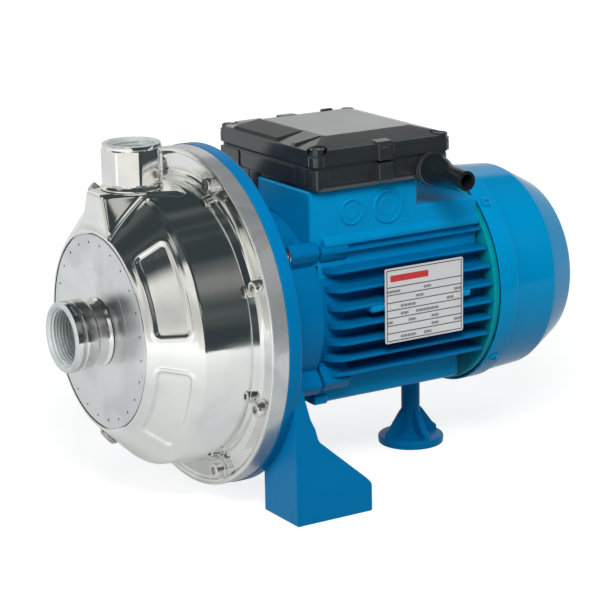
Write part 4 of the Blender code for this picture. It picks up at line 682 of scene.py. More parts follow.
# Black plastic that hardly mirrors, for the lid faces turned to the near side and the hood: painted shade.
shadedSlopePlastic = sprayed("shadedSlopePlastic", (0.022, 0.026, 0.028), (0.03, 0.035, 0.037), (0.12, 0.13, 0.13),
                       0.16, 0.1, peel=900.0, peelHeight=0.05, ior=1.13)
sleeveRubber = sprayed("sleeveRubber", (0.006, 0.010, 0.012), (0.010, 0.014, 0.016), (0.01, 0.02, 0.025),
                       0.10, 0.12, peel=600.0, peelHeight=0.06, ior=1.25)
sealRubber = sprayed("sealRubber", (0.014, 0.014, 0.014), (0.02, 0.02, 0.02), (0.1, 0.1, 0.1), 0.5, 0.2)
greyPlastic = sprayed("greyPlastic", (0.10, 0.10, 0.11), (0.085, 0.085, 0.095), (0.25, 0.25, 0.25),
                      0.42, 0.12)
sealCeramic = sprayed("sealCeramic", (0.75, 0.74, 0.70), (0.70, 0.69, 0.65), (0.6, 0.6, 0.6), 0.2, 0.1)
print("materials ready")


# Pressed steel casing: a turned shell with the neck for the upper port and four pressed pads

casing = {"front": -77.3, "plateSeat": 66.2, "coneStart": (-76.6, 68.6), "coneEnd": (-52.5, 91.8),
          "bend": (-49.0, 94.1), "innerBend": (-47.0, 91.6), "innerFront": 66.6, "wallEnd": (-9.5, 98.3),
          "rim": 115.3, "rimBack": -0.3, "beadWidth": 4.3, "beadHeight": 2.7, "sheet": 2.0,
          "seatDepth": 2.3, "holeRadius": 21.5, "portBore": 15.2, "portX": -48.0, "drill": (70.0, 110.0)}
neck = {"back": -28.5, "top": 93.5, "halfTop": 10.6, "halfLow": 22.0, "halfBack": 31.0, "foot": 61.6,
        "floor": 45.0, "blend": 3.2, "edge": 2.6, "footWider": 4.0, "widenPower": 1.2, "risePower": 0.85,
        "lean": 0.3, "reach": 40.0, "span": 40.0, "behind": 6.0}
pads = {"angles": (60, 120, 240, 300), "half": 22.0, "low": 5.0, "high": 4.0, "corner": 5.0,
        "depth": 1.7, "slope": 2.6, "ridge": 0.45, "ridgeWidth": 1.3, "ridgeOffset": 0.6}
# Spacing of the points: millimetres along the outline, degrees round the shaft, and where each holds
spacing = {"cone": 0.45, "coneEnd": -44.0, "wall": 2.2, "channel": 0.6, "channelStart": 8.0,
           "neck": 0.35, "neckEnd": 27.0, "padSide": 0.5, "padNear": 4.5, "plain": 1.25}


def casingOutline():
    # Outer line of the shell from the plate seat to the rim, with the way each point may be pushed out.
    rim, front, seat = casing["rim"], casing["front"], casing["plateSeat"]
    channel, wall = casing["wallEnd"]
    foot, bead = rim - casing["beadWidth"], channel - casing["beadHeight"]
    corners = [(front, seat), (front, seat + 1.6, 0.8), (*casing["coneStart"], 1.2),
               (*casing["coneEnd"], 5.0), (*casing["bend"], 3.5), (channel, wall, 4.5),
               (channel, foot - 0.6, 1.6), (bead, foot + 1.2, 1.6), (bead, rim, 1.6),
               (casing["rimBack"], rim)]
    line = roundCorners(corners, closed=False, steps=8)
    steps = np.linalg.norm(np.diff(line, axis=0), axis=1)
    length = np.concatenate([[0], np.cumsum(steps)])
    stations = [0.0]
    while stations[-1] < length[-1]:
        x = np.interp(stations[-1], length, line[:, 0])
        inWall = x < channel - spacing["channelStart"]
        near = "cone" if x < spacing["coneEnd"] else ("wall" if inWall else "channel")
        stations.append(stations[-1] + spacing[near])
    stations[-1] = length[-1]
    smooth = np.stack([np.interp(stations, length, line[:, k]) for k in (0, 1)], -1)
    slope = np.gradient(smooth, axis=0)
    slope /= np.linalg.norm(slope, axis=1, keepdims=True)
    push = np.stack([-slope[:, 1], slope[:, 0]], -1)
    return smooth, push


def softMax(values, width):
    top = values[0]
    for value in values[1:]:
        mix = np.clip(0.5 + 0.5 * (value - top) / width, 0, 1)
        top = top * (1 - mix) + value * mix + width * mix * (1 - mix)
    return top


def neckDistance(x, y, z):
    # Signed distance to the pressed wedge; z is counted from the shaft axis.
    n, front = neck, casing["front"]
    widen = np.clip((x - front) / (n["back"] - front), 0, 1) ** n["widenPower"]
    rise = np.clip((z - n["foot"]) / (n["top"] - n["foot"]), 0, 1.2)
    low = n["halfLow"] + (n["halfBack"] + n["footWider"] - n["halfLow"]) * widen
    high = n["halfTop"] + (n["halfBack"] - n["halfTop"]) * widen
    half = low + (high - low) * rise ** n["risePower"]
    sides = (np.abs(y) - half) / sqrt(1 + n["lean"] ** 2)
    return softMax([sides, z - n["top"], front - x, x - n["back"], n["floor"] - z], n["edge"])


def padDepth(share, angle, radius, length):
    # How far the cone is pressed in at a place along it and round it.
    total = 0.0
    corner = pads["corner"]
    for centre in pads["angles"]:
        turn = (np.degrees(angle) - centre + 180) % 360 - 180
        across = (np.abs(turn) - pads["half"]) * radius * pi / 180
        middle = (pads["low"] + length - pads["high"]) / 2
        reach = np.abs(share - middle) - (length - pads["high"] - pads["low"]) / 2
        outside = np.hypot(np.maximum(across + corner, 0), np.maximum(reach + corner, 0)) - corner
        edge = np.where((across > -corner) & (reach > -corner), outside, np.maximum(across, reach))
        inside = np.clip(-edge / pads["slope"], 0, 1)
        total = total - pads["depth"] * inside * inside * (3 - 2 * inside)
        total = total + pads["ridge"] * np.exp(-((edge - pads["ridgeOffset"]) / pads["ridgeWidth"]) ** 2)
    return total


def casingAngles():
    # Closer columns where the neck and the pad sides need them.
    marks, angle = [], -180.0
    while angle < 180 - 1e-6:
        marks.append(angle)
        gaps = [abs((angle - centre - side * pads["half"] + 180) % 360 - 180)
                for centre in pads["angles"] for side in (-1, 1)]
        byPad = min(gaps) < spacing["padNear"]
        near = "neck" if abs(angle) < spacing["neckEnd"] else ("padSide" if byPad else "plain")
        angle += spacing[near]
    return np.radians(marks)


def casingInside():
    # Inner line of the shell, from the rim to the seat of the front plate.
    wall, back, inner = casing["sheet"], casing["rimBack"], casing["rim"] - casing["sheet"]
    channel, height = casing["wallEnd"]
    floor = casing["front"] + casing["seatDepth"]
    return roundCorners([(back, inner), (channel + wall, inner), (channel + wall, height + 1, 3),
                         (*casing["innerBend"], 4), (floor + wall, casing["innerFront"], 3),
                         (floor + wall, casing["holeRadius"]), (floor, casing["holeRadius"]),
                         (floor, casing["plateSeat"])], closed=False, steps=3)


def makeCasing():
    line, push = casingOutline()
    angles = casingAngles()
    start, along = np.array(casing["coneStart"]), np.subtract(casing["coneEnd"], casing["coneStart"])
    length = np.linalg.norm(along)
    share = ((line - start) @ along) / length
    onCone = (line[:, 0] > casing["front"] + 0.2) & (line[:, 0] < casing["bend"][0])
    x, radius = line[:, :1], line[:, 1:]
    reach = np.where(onCone[:, None], padDepth(share[:, None], angles[None, :], radius, length), 0.0)
    byNeck = np.ix_(line[:, 0] < neck["back"] + neck["behind"], np.abs(angles) < radians(neck["span"]))
    rows, turn = byNeck[0][:, 0], angles[byNeck[1]]
    base = reach[byNeck]

    def shellDistance(out):
        # Smooth union of the plain shell and the neck, along each push direction.
        r = radius[rows] + push[rows, 1:] * out
        wedge = neckDistance(x[rows] + push[rows, :1] * out, r * np.sin(turn), r * np.cos(turn))
        return -softMax([base - out, -wedge], neck["blend"])
    low, high = np.full(base.shape, -3.0), np.full(base.shape, neck["reach"])
    for _ in range(30):
        middle = (low + high) / 2
        inside = shellDistance(middle) < 0
        low, high = np.where(inside, middle, low), np.where(inside, high, middle)
    reach[byNeck] = (low + high) / 2
    reach[line[:, 0] < casing["front"] + 0.05] = 0.0
    inner, count = casingInside(), len(angles)
    allX = np.vstack([x + push[:, :1] * reach, np.repeat(inner[:, :1], count, 1)])
    allR = np.vstack([radius + push[:, 1:] * reach, np.repeat(inner[:, 1:], count, 1)])
    points = np.stack([allX, -allR * np.sin(angles), axisHeight + allR * np.cos(angles)], -1).reshape(-1, 3)
    faces = []
    for first in range(0, len(points), count):
        second = (first + count) % len(points)
        faces += [(first + i, second + i, second + (i + 1) % count, first + (i + 1) % count)
                  for i in range(count)]
    shell = faceOutwards(newPiece("pumpCasing", points, faces, mirrorSteel, 50))
    paintFaces(shell, rimSteel, lambda face: fromAxis(face.center) > casing["rim"] - 0.4)
    low, high = casing["drill"]
    drill = turned("drill", rod(axisHeight + low, axisHeight + high, casing["portBore"]),
                   mirrorSteel, "z", (casing["portX"], 0.0), 64)
    return carve(shell, [drill], 50)


settle(makeCasing(), "polished_steel", "pump_casing")
print("casing")


# Front plate with its ring of weld dots

plate = {"front": -77.3, "radius": 65.1, "thick": 2.0, "hole": 20.4, "edge": 0.7, "line": 42.0,
         "lineDepth": 0.12, "dots": 24, "dotCircle": 59.5, "dotRadius": 0.85, "dotHeight": 0.3,
         "dotSink": 0.6, "firstDot": 6.0}


def makeWeldDot():
    radius, high, sink = plate["dotRadius"], plate["dotHeight"], plate["dotSink"]
    dome = [(-high, 0.0), (-high * 0.8, radius * 0.6), (0.0, radius), (sink, radius), (sink, 0.0)]
    return turned("dot", dome, None, "x", (0.0, 0.0), 12)


def makePlate():
    face, ring = plate["front"], plate["line"]
    back = face + plate["thick"]
    profile = [(back, plate["hole"]), (face, plate["hole"]), (face, ring - 0.5, 0.4),
               (face + plate["lineDepth"], ring, 0.5), (face, ring + 0.5, 0.4),
               (face, plate["radius"], plate["edge"]), (back, plate["radius"], 0.4)]
    disc = turned("disc", profile, satinSteel, steps=180)
    dots = aroundShaft("dots", makeWeldDot, weldSteel, face, plate["dotCircle"], plate["dots"],
                       plate["firstDot"])
    return joined("frontPlate", [disc, dots])


settle(makePlate(), "brushed_steel", "casing_front_plate")


# Suction port in front

suction = {"face": -104.8, "bore": 19.2, "outer": 23.8, "lip": 1.5, "line": -97.2, "lineDepth": 0.7,
           "band": -89.3, "waist": 21.1, "waistStart": -86.3, "foot": -77.6, "flare": 2.2,
           "neckRadius": 20.0, "innerEnd": -72.5, "innerBore": 17.2, "threadEnd": -84.5,
           "threadStart": 1.8, "runOut": 3.5, "pitch": 2.31, "threadDepth": 1.0, "paleRing": 1.2}


def makeSuction():
    s = suction
    face, outer, bore, line, foot = s["face"], s["outer"], s["bore"], s["line"], s["foot"]
    profile = [(face, bore + 1.4, 0.4), (face, outer - 1.1, 0.5), (face + s["lip"], outer, 0.3),
               (line - 0.5, outer, 0.2), (line, outer - s["lineDepth"], 0.3), (line + 0.5, outer, 0.2),
               (s["band"], outer, 0.7), (s["waistStart"], s["waist"], 1.6),
               (foot - s["flare"], s["waist"], 2.2), (foot, s["waist"] + s["flare"], 0.3),
               (foot, s["neckRadius"]), (s["innerEnd"], s["neckRadius"], 0.4),
               (s["innerEnd"], s["innerBore"], 0.4), (s["threadEnd"], s["innerBore"], 0.4),
               (s["threadEnd"] - 1, bore), (face + 1.6, bore)]
    tube = turned("tube", profile, portSteel, steps=160, angle=28)
    lipBack = discFace + (face + 1.0) * mm
    paintFaces(tube, paleSteel, lambda patch: fromAxis(patch.center) < bore + s["paleRing"]
               or patch.center.x < lipBack)
    thread = makeThread(s, s["threadEnd"] - face - s["runOut"], (0, pi / 2, 0),
                        (face + s["threadStart"], 0, axisHeight))
    return joined("suctionPort", [tube, thread])


settle(makeSuction(), "polished_steel", "suction_port")


# Discharge port on top, turned from eight-sided bar

discharge = {"x": -48.0, "seat": 215.8, "top": 245.8, "bore": 15.5, "radius": 19.4, "flat": 19.3,
             "corner": 20.6, "ring": 2.8, "collar": 21.5, "collarHeight": 3.2, "throat": 14.0,
             "throatHeight": 5.0, "threadStart": 6.8, "runOut": 9.5, "pitch": 2.31, "threadDepth": 0.9,
             "paleRing": 0.6, "turn": 10.0}


def eightSided(along, radius, spin):
    d = discharge
    if radius < d["flat"] or along > d["top"] - d["ring"] + 0.2 or along < d["seat"] + d["collarHeight"]:
        return np.full(len(spin), radius)
    return np.minimum(evenSided(spin, d["flat"], 8, radians(d["turn"])), radius)


def makeDischarge():
    d = discharge
    seat, top, bore, flat = d["seat"], d["top"], d["bore"], d["flat"]
    start, ring = seat + d["collarHeight"], top - d["ring"]
    profile = [(seat, d["throat"]), (seat, d["collar"], 0.2), (seat + 1.0, d["collar"], 0.8),
               (start - 0.8, flat + 0.25, 1.2), (start + 0.1, flat + 0.1), (start + 1.2, d["corner"], 0.3)]
    profile += [(start + 1.2 + (ring - start - 2) * k / 5, d["corner"]) for k in range(1, 6)]
    profile += [(ring - 0.1, flat + 0.05), (ring + 0.3, d["radius"]), (top, d["radius"], 0.9),
                (top, bore + 1.0, 0.5), (top - 1.2, bore, 0.3),
                (seat + d["throatHeight"] + 1, bore), (seat + d["throatHeight"], d["throat"])]
    tube = turned("tube", profile, portSteel, "z", (d["x"], 0.0), 192, eightSided, 16)
    middle = Vector((discFace + d["x"] * mm, 0))
    paintFaces(tube, paleSteel, lambda patch: patch.center.z > (top - 0.4) * mm
               or (patch.center.xy - middle).length / mm < bore + d["paleRing"])
    thread = makeThread(d, top - seat - d["runOut"], (0, 0, 0), (d["x"], 0, seat + d["threadStart"]))
    return joined("dischargePort", [tube, thread])


settle(makeDischarge(), "polished_steel", "discharge_port")


# Eight socket head screws round the casing rim

rimScrews = {"count": 8, "circle": 105.5, "first": 22.5, "seat": -9.5, "head": 6.0, "radius": 5.0,
             "socket": 2.45, "socketDepth": 3.2, "drillTip": 0.9, "washer": 6.4, "washerThick": 0.9,
             "stem": 3.0, "stemLength": 6.0}


def makeRimScrew():
    s = rimScrews
    under, stem, end = -s["washerThick"], s["stem"], s["stemLength"]
    top, across = under - s["head"], s["socket"] / cos(pi / 6)
    floor = top + s["socketDepth"]
    profile = [(top, 0.0), (top, s["radius"] - 0.5, 0.2), (top + 0.6, s["radius"], 0.3),
               (under, s["radius"], 0.3), (under, s["washer"], 0.25), (0.0, s["washer"], 0.25),
               (0.0, stem), (end, stem), (end, 0.0)]
    head = turned("screw", profile, None, "x", (0.0, 0.0), 48)
    key = turned("key", [(top - 2, 0.0), (top - 2, across), (floor, across), (floor + s["drillTip"], 0.0)],
                 None, "x", (0.0, 0.0), 6, angle=20)
    return carve(head, [key], 30)


rimScrewPiece = aroundShaft("rimScrews", makeRimScrew, screwSteel, rimScrews["seat"], rimScrews["circle"],
                            rimScrews["count"], rimScrews["first"], shade=30)
settle(rimScrewPiece, "brushed_steel", *numbered("casing_screw", rimScrews["count"]))
print("ports and screws")


# Bracket: disc behind the casing, drum, two front feet, ribs and lugs

bracket = {"disc": 115.8, "discThick": 10.0, "discInner": 92.0, "spigot": 3.0, "drum": 66.0,
           "drumEnd": 58.0, "wall": 6.0, "blend": 9.0, "hub": 30.0, "hubEnd": 46.0, "hubBore": 12.3,
           "sealSeat": 31.0, "sealBore": 24.0, "floor": 22.0, "legInner": 67.4, "legOuter": 108.8,
           "legFront": 7.3, "footLength": 58.4, "toe": 19.4, "toeTop": 23.6, "web": 15.0,
           "webHeight": 55.7, "legTop": 112.0, "footWall": 6.0, "pocket": 12.0,
           "lugAngles": (50, 130, 230, 310), "lugOuter": 77.5, "lugHalf": 7.0, "lugStart": 36.0,
           "ribY": 49.2, "ribThick": 8.0, "edge": 1.6}


def makeDisc():
    b = bracket
    thick, drum, end, inner = b["discThick"], b["drum"], b["drumEnd"], b["drum"] - b["wall"]
    front, seat, bore, hubEnd = b["spigot"], b["sealSeat"], b["sealBore"], b["hubEnd"]
    profile = [(front, b["hubBore"]), (front, b["discInner"]), (0.0, b["discInner"] + 2, 0.5),
               (0.0, b["disc"], 0.9), (thick, b["disc"], 2.2), (thick, drum, b["blend"]),
               (end, drum, 1.2), (end, inner, 0.8), (b["floor"], inner, 3), (b["floor"], b["hub"], 3),
               (hubEnd, b["hub"], 1), (hubEnd, bore, 0.5), (seat, bore, 0.5), (seat, b["hubBore"])]
    return turned("disc", profile, shadedBluePaint, steps=200, arc=8)


def makeFoot(side):
    b = bracket
    front, back, web = b["legFront"], b["legFront"] + b["footLength"], b["legFront"] + b["web"]
    knee, top = b["webHeight"], b["legTop"]
    outline = [(front, 0, 1.2), (back, 0, 1.2), (back, b["toe"], 5), (back - 4, b["toeTop"], 6),
               (web + 2.5, knee, 9), (web, knee + 9, 6), (web - 3.5, knee + 16, 8),
               (front + 4.2, top - 14, 10), (front + 1.7, top, 1), (front, top, 1)]
    low, high = sideSpan(side, b["legInner"], b["legOuter"])
    leg = slab("leg", outline, low, high, "y", shadedBluePaint, b["edge"], 4, 8)
    wall = b["footWall"]
    pocket = brick("pocket", (web + wall, low + wall, -5), (back - wall, high - wall, b["pocket"]),
                   shadedBluePaint, 2.0)
    return carve(leg, [pocket], 50)


def makeRib(side):
    # The curved rib that runs from the disc to the drum beside the terminal box.
    b = bracket
    top = axisHeight + b["drum"]
    start, end, low = 8, 50, top - 30
    outline = [(start, low), (start, top - 1, 1), (22, top + 1.5, 12), (35, top - 3, 14), (44, top - 11, 10),
               (end, top - 22, 6), (end, low)]
    near, far = sideSpan(side, b["ribY"], b["ribY"] - b["ribThick"])
    return slab("rib", outline, near, far, "y", shadedBluePaint, 2.4, 4, 8)


def makeLug():
    b = bracket
    half, top, root = b["lugHalf"], b["lugOuter"], b["drum"]
    rightSide = [(half - 2.5, top, 3.5), (half, top - 6, 2), (half + 0.8, root, 2), (half + 3, root - 4)]
    outline = [(-y, *rest) for y, *rest in reversed(rightSide)] + rightSide
    lifted = [(y, z + axisHeight, *radius) for y, z, *radius in outline]
    return slab("lug", lifted, b["lugStart"], b["drumEnd"], "x", shadedBluePaint, 1.5)


def makeBracket():
    # All the bracket's pieces are in the darker copy of the blue paint, which is painted shade.
    parts = [makeDisc()]
    for side in (-1, 1):
        parts += [makeFoot(side), makeRib(side)]
    parts += [turnedBy(makeLug(), angle) for angle in bracket["lugAngles"]]
    return evenShading(joined("motorBracket", parts))


settle(makeBracket(), "blue_paint", "motor_bracket")


# Four bolts through the lugs

lugBolts = {"circle": 71.2, "head": 4.5, "height": 5.0, "flange": 1.3, "flangeThick": 0.8, "flat": 0.93,
            "stem": 2.5, "stemLength": 20.0, "seat": 36.0}


def makeLugBolt():
    s = lugBolts
    top, head, wide, under = -s["height"], s["head"], s["head"] + s["flange"], -s["flangeThick"]
    profile = [(top, 0), (top, head * 0.8, 0.4), (top + 0.6, head, 0.4), (under, head, 0.2),
               (under, wide, 0.2), (0.0, wide, 0.2), (0, s["stem"]), (s["stemLength"], s["stem"]),
               (s["stemLength"], 0)]

    def sixSided(along, radius, spin):
        if along > under - 0.1 or radius < head * 0.9:
            return np.full(len(spin), radius)
        return np.minimum(evenSided(spin, head * s["flat"], 6), radius * 1.05)
    return turned("bolt", profile, None, "x", (0.0, 0.0), 48, sixSided, 22)


settle(atAngles("lugBolts", makeLugBolt, zincMetal, lugBolts["seat"], lugBolts["circle"],
                bracket["lugAngles"], 25), "bright_zinc", *numbered("housing_bolt", 4))
print("bracket")


# Motor housing: barrel, fins, pedestal under the terminal box, ledges and bottom pad

housing = {"radius": 62.0, "start": 58.3, "end": 190.0, "bore": 58.3, "clear": 66.6, "fins": 8,
           "pitch": 12.1, "offset": 2.0, "finStart": 62.0, "finSink": 1.5, "tip": 76.0, "finThick": 2.3,
           "finTaper": 0.9, "nose": 15.0, "pedestalFront": 53.5, "pedestalBack": 140.0,
           "pedestalHalf": 56.0, "pedestalLow": 16.0, "pedestalTop": 208.4, "shelf": 189.0,
           "ledgeZ": 172.5, "ledgeY": 60.0, "skirtLow": 18.0, "padHalf": 45.0, "padTop": -36.0,
           "padBottom": 57.6, "padStart": 60.5, "padEnd": 181.0, "tabWidth": 10.6, "tabLength": 11.5,
           "tabHeight": 7.0, "knockX": 86.0, "knockStep": 29.0, "knockZ": 191.5,
           "knockRadii": (8.5, 11.0), "panelFront": 74.0, "panelBack": 130.0, "panelLow": 174.5,
           "panelProud": 0.35, "bosses": ((88.5, 108.5), (152.5, 170.5)), "bossY": (-75.9, -58.0),
           "bossZ": (124.5, 130.5), "lugShift": (24.0, -1.5)}


def makeFins():
    h = housing
    # The fins are in the darker copy of the blue paint: painted shade.
    fins = growInto("fins", slatTree, {
        "Count": h["fins"], "Pitch": h["pitch"] * mm, "Offset": h["offset"] * mm,
        "Start": discFace + h["finStart"] * mm, "End": discFace + (h["end"] - h["finSink"]) * mm,
        "Root Radius": (h["radius"] - h["finSink"]) * mm, "Tip Radius": h["tip"] * mm,
        "Thickness": h["finThick"] * mm, "Taper": h["finTaper"], "Nose": h["nose"] * mm,
        "Axis Height": axisHeight * mm, "Material": shadedBluePaint})
    smoothShade(fins, 60)
    return fins


def makeKnockout(x, radius):
    # A raised rim, a sunken floor and a lower ring round the middle
    face = -housing["pedestalHalf"]
    rim, floor, ring, middle = face - 1.5, face + 0.2, face - 0.7, face - 0.1
    profile = [(face + 2, 0), (face + 2, radius + 1.2), (face, radius + 1.2, 0.3), (rim, radius + 0.3, 0.4),
               (rim, radius - 0.7, 0.4), (floor, radius - 1.3, 0.4), (floor, radius * 0.62, 0.3),
               (ring, radius * 0.58, 0.3), (ring, radius * 0.45, 0.3), (middle, radius * 0.4, 0.3),
               (middle, 0)]
    return turned("knockout", profile, bluePaint, "y", (x, housing["knockZ"]), 64, angle=60)


def makePedestal(start, end, level):
    h = housing
    half, front = h["pedestalHalf"], h["start"] + 0.8
    block = brick("pedestal", (start, -half, axisHeight + h["pedestalLow"]), (end, half, level),
                  bluePaint, 2.2, 4)
    inner = turned("inner", [(0, 0), (0, h["clear"]), (front, h["clear"]), (front, h["bore"]),
                             (220, h["bore"]), (220, 0)], bluePaint, steps=96)
    block = carve(block, [inner], 50)
    # The upward faces of the shelf take the darker blue: painted shade under the box's overhang.
    paintFaces(block, shelfShadePaint, lambda face: level == h["shelf"] and face.normal.z > 0.9)
    return block


def makeLedges(side):
    h = housing
    half, y, z, low = h["pedestalHalf"], h["ledgeY"], h["ledgeZ"], axisHeight + h["skirtLow"]
    ledge = [(half - 8, z - 5.5), (half - 0.5, z - 4.4, 2.5), (y - 0.6, z - 2.2, 1.2), (y, z, 1.4),
             (y - 0.6, z + 1.9, 1.2), (half - 0.2, z + 4.8, 3.5), (half - 8, z + 8)]
    skirt = [(half - 14, low), (half - 2.6, low + 4, 2), (half - 0.9, z - 6, 2), (half - 14, z)]
    ends = {"ledge": (h["start"] + 4, h["end"] - 1.2, 1.2), "skirt": (h["start"] + 6, h["end"] - 2, 1.0)}
    made = []
    for name, outline in (("ledge", ledge), ("skirt", skirt)):
        start, end, edge = ends[name]
        made.append(slab(name, [(side * out, *rest) for out, *rest in outline], start, end, "x",
                         bluePaint, edge))
    return made


def makePads():
    h = housing
    pad, base, top = h["padHalf"], h["padBottom"], axisHeight + h["padTop"]
    line = [(-pad, top), (-pad, base + 2, 2.5), (-pad + 3, base, 2), (pad - 3, base, 2),
            (pad, base + 2, 2.5), (pad, top)]
    made = [slab("pad", line, h["padStart"], h["padEnd"], "x", bluePaint, 1.5)]
    front, outer = h["padStart"] - 0.5, pad + 1.6
    for side in (-1, 1):
        low, high = sideSpan(side, outer - h["tabWidth"], outer)
        made.append(brick("padTab", (front, low, base), (front + h["tabLength"], high, base + h["tabHeight"]),
                          bluePaint, 1.6))
    return made


def makeHousing():
    h = housing
    front, back, half = h["pedestalFront"], h["pedestalBack"], h["pedestalHalf"]
    # The barrel and the fins are in the darker copy of the blue paint: painted shade.
    parts = [turned("barrel", [(h["start"], h["bore"]), (h["start"], h["radius"], 1.0),
                               (h["end"], h["radius"], 1.0), (h["end"], h["bore"])], shadedBluePaint, steps=160),
             makeFins(), makePedestal(front, back, h["pedestalTop"]),
             makePedestal(back - 4, h["end"] - 0.8, h["shelf"])]
    for side in (-1, 1):
        parts += makeLedges(side)
    parts += makePads()
    for index, radius in enumerate(h["knockRadii"]):
        parts.append(makeKnockout(h["knockX"] + index * h["knockStep"], radius))
    x0, x1, low, high = h["panelFront"], h["panelBack"], h["panelLow"], h["pedestalTop"] - 1
    parts.append(slab("panel", [(x0, low, 2), (x1, low, 2), (x1, high, 2), (x0, high, 2)],
                      -half - h["panelProud"], -half + 2, "y", bluePaint, h["panelProud"], 2))
    for x0, x1 in h["bosses"]:
        (y0, y1), (z0, z1) = h["bossY"], h["bossZ"]
        parts.append(brick("boss", (x0, y0, z0), (x1, y1, z1), bluePaint, 2.2))
    along, down = h["lugShift"]
    for angle in bracket["lugAngles"]:
        tail = makeLug()
        tail.data.transform(Matrix.Translation((along * mm, 0, down * mm)))
        parts.append(turnedBy(tail, angle))
    return evenShading(joined("motorHousing", parts))


settle(makeHousing(), "blue_paint", "motor_housing")
print("housing")


# Nameplate: a bare printed plate with ruled lines, and its two rivets

label = {"left": 98.5, "right": 162.5, "low": 101.8, "high": 153.8, "back": -76.3, "thick": 0.8,
         "corner": 1.4, "margin": 1.6, "header": 13.2, "rows": 7, "line": 0.5, "blur": 0.12,
         "rivets": (104.5, 156.5), "rivetZ": 127.5, "rivetRadius": 1.9, "rivetHeight": 1.0,
         "silver": (0.72, 0.72, 0.72, 1), "dull": (0.64, 0.65, 0.66, 1), "ink": (0.02, 0.02, 0.025, 1),
         "stripe": (0.55, 0.03, 0.03, 1), "stripeHalf": 2.2, "stripeFrom": 0.07, "stripeTo": 0.55,
         "dashes": 160.0, "filled": 0.72, "dashMiddle": 0.56, "dashHalf": 0.16, "gaps": 900.0,
         "gapShare": 0.35, "metal": 0.45, "inkMetal": 0.10}


def plateMetal():
    # Silver sheet with printed rules: a frame, seven rows, and short marks as on any data plate.
    n = label
    material, tree, shader = newMaterial("plateMetal")
    marks = useGroup(tree, polish, {"Roughness": 0.30, "Spread": 0.12, "Line Scale": 1800.0,
                                    "Line Share": 0.7, "Line Height": 0.04, "Wave Height": 0.0,
                                    "Axis Height": axisHeight * mm})
    corner = (-discFace - n["left"] * mm, 0, -n["low"] * mm)
    centred = addNode(tree, "ShaderNodeMapping", {0: objectSpot(tree), "Location": corner}).outputs[0]
    parts = split(tree, centred)
    width, height = (n["right"] - n["left"]) * mm, (n["high"] - n["low"]) * mm
    margin, thin, header = n["margin"] * mm, n["line"] * mm, n["header"] * mm

    def band(value, middle, half):
        return ramp(tree, offFrom(tree, value, middle), half, half + n["blur"] * mm, 1.0, 0.0)

    def lines(value, size):
        # Two of the frame's lines, on opposite sides of the plate
        return largest(tree, band(value, margin, thin / 2), band(value, size - margin, thin / 2))

    def both(first, second):
        return times(tree, first, second)
    inX = band(parts["X"], width / 2, width / 2 - margin + thin / 2)
    inZ = band(parts["Z"], height / 2, height / 2 - margin + thin / 2)
    ink = largest(tree, both(lines(parts["X"], width), inZ), both(lines(parts["Z"], height), inX))
    rowTop = height - header
    pitch = (rowTop - margin) / n["rows"]
    row = calc(tree, "DIVIDE", minus(tree, rowTop, parts["Z"]), pitch)
    fraction = calc(tree, "FRACT", row)
    nearest = calc(tree, "MINIMUM", fraction, minus(tree, 1.0, fraction))
    share = thin / pitch / 2
    rule = ramp(tree, nearest, share, share + 0.03, 1.0, 0.0)
    below = ramp(tree, parts["Z"], rowTop + 0.4 * mm, rowTop + 0.6 * mm, 1.0, 0.0)
    ink = largest(tree, ink, both(both(rule, below), inX))
    # Short dashes that stand where a data plate has its entries
    dash = combined(tree, times(tree, parts["X"], n["dashes"]), calc(tree, "FLOOR", row))
    cell = addNode(tree, "ShaderNodeVectorMath", {0: dash}, operation="FLOOR").outputs[0]
    chance = addNode(tree, "ShaderNodeTexWhiteNoise", {"Vector": cell}, noise_dimensions="2D")
    filled = calc(tree, "GREATER_THAN", chance.outputs["Value"], n["filled"])
    small = ramp(tree, offFrom(tree, fraction, n["dashMiddle"]), n["dashHalf"], n["dashHalf"] + 0.04,
                 1.0, 0.0)
    gapX = calc(tree, "FRACT", times(tree, parts["X"], n["gaps"]))
    solid = calc(tree, "GREATER_THAN", gapX, n["gapShare"])
    entries = both(both(both(filled, small), solid), both(inX, below))
    ink = largest(tree, ink, times(tree, entries, 0.95))
    start, end = n["stripeFrom"] * width, n["stripeTo"] * width
    stripe = both(band(parts["Z"], height - header * 0.55, n["stripeHalf"] * mm), inX)
    stripe = both(stripe, band(parts["X"], (start + end) / 2, (end - start) / 2))
    printed = blend(tree, ink, blend(tree, marks["Smudge"], n["silver"], n["dull"]), n["ink"])
    covered = largest(tree, ink, stripe)
    metal = calc(tree, "MULTIPLY_ADD", covered, n["inkMetal"] - n["metal"], n["metal"])
    feed(tree, shader.inputs, {"Base Color": blend(tree, stripe, printed, n["stripe"]), "Metallic": metal,
                               "Roughness": marks["Roughness"], "Normal": marks["Normal"]})
    return material


def makeNameplate():
    n = label
    outline = [(x, z, n["corner"]) for x, z in ((n["left"], n["low"]), (n["right"], n["low"]),
                                                (n["right"], n["high"]), (n["left"], n["high"]))]
    sheet = slab("nameplate", outline, n["back"] - n["thick"], n["back"], "y", plateMetal(), 0.25, 2)
    return evenShading(sheet)


def makeRivets():
    n = label
    face, radius, height = n["back"] - n["thick"] - 0.05, n["rivetRadius"], n["rivetHeight"]
    head = [(face + 0.4, 0), (face + 0.4, radius), (face - 0.35, radius, 0.3), (face - height, 1.3, 1.4),
            (face - height * 0.95, 0)]
    return joined("nameplateRivets", [turned("rivet", head, rivetMetal, "y", (x, n["rivetZ"]), 32, angle=50)
                                      for x in n["rivets"]])


settle(makeNameplate(), "plate_metal", "nameplate")
settle(makeRivets(), "bright_zinc", *numbered("nameplate_rivet", 2))


# Rear shield and fan cover

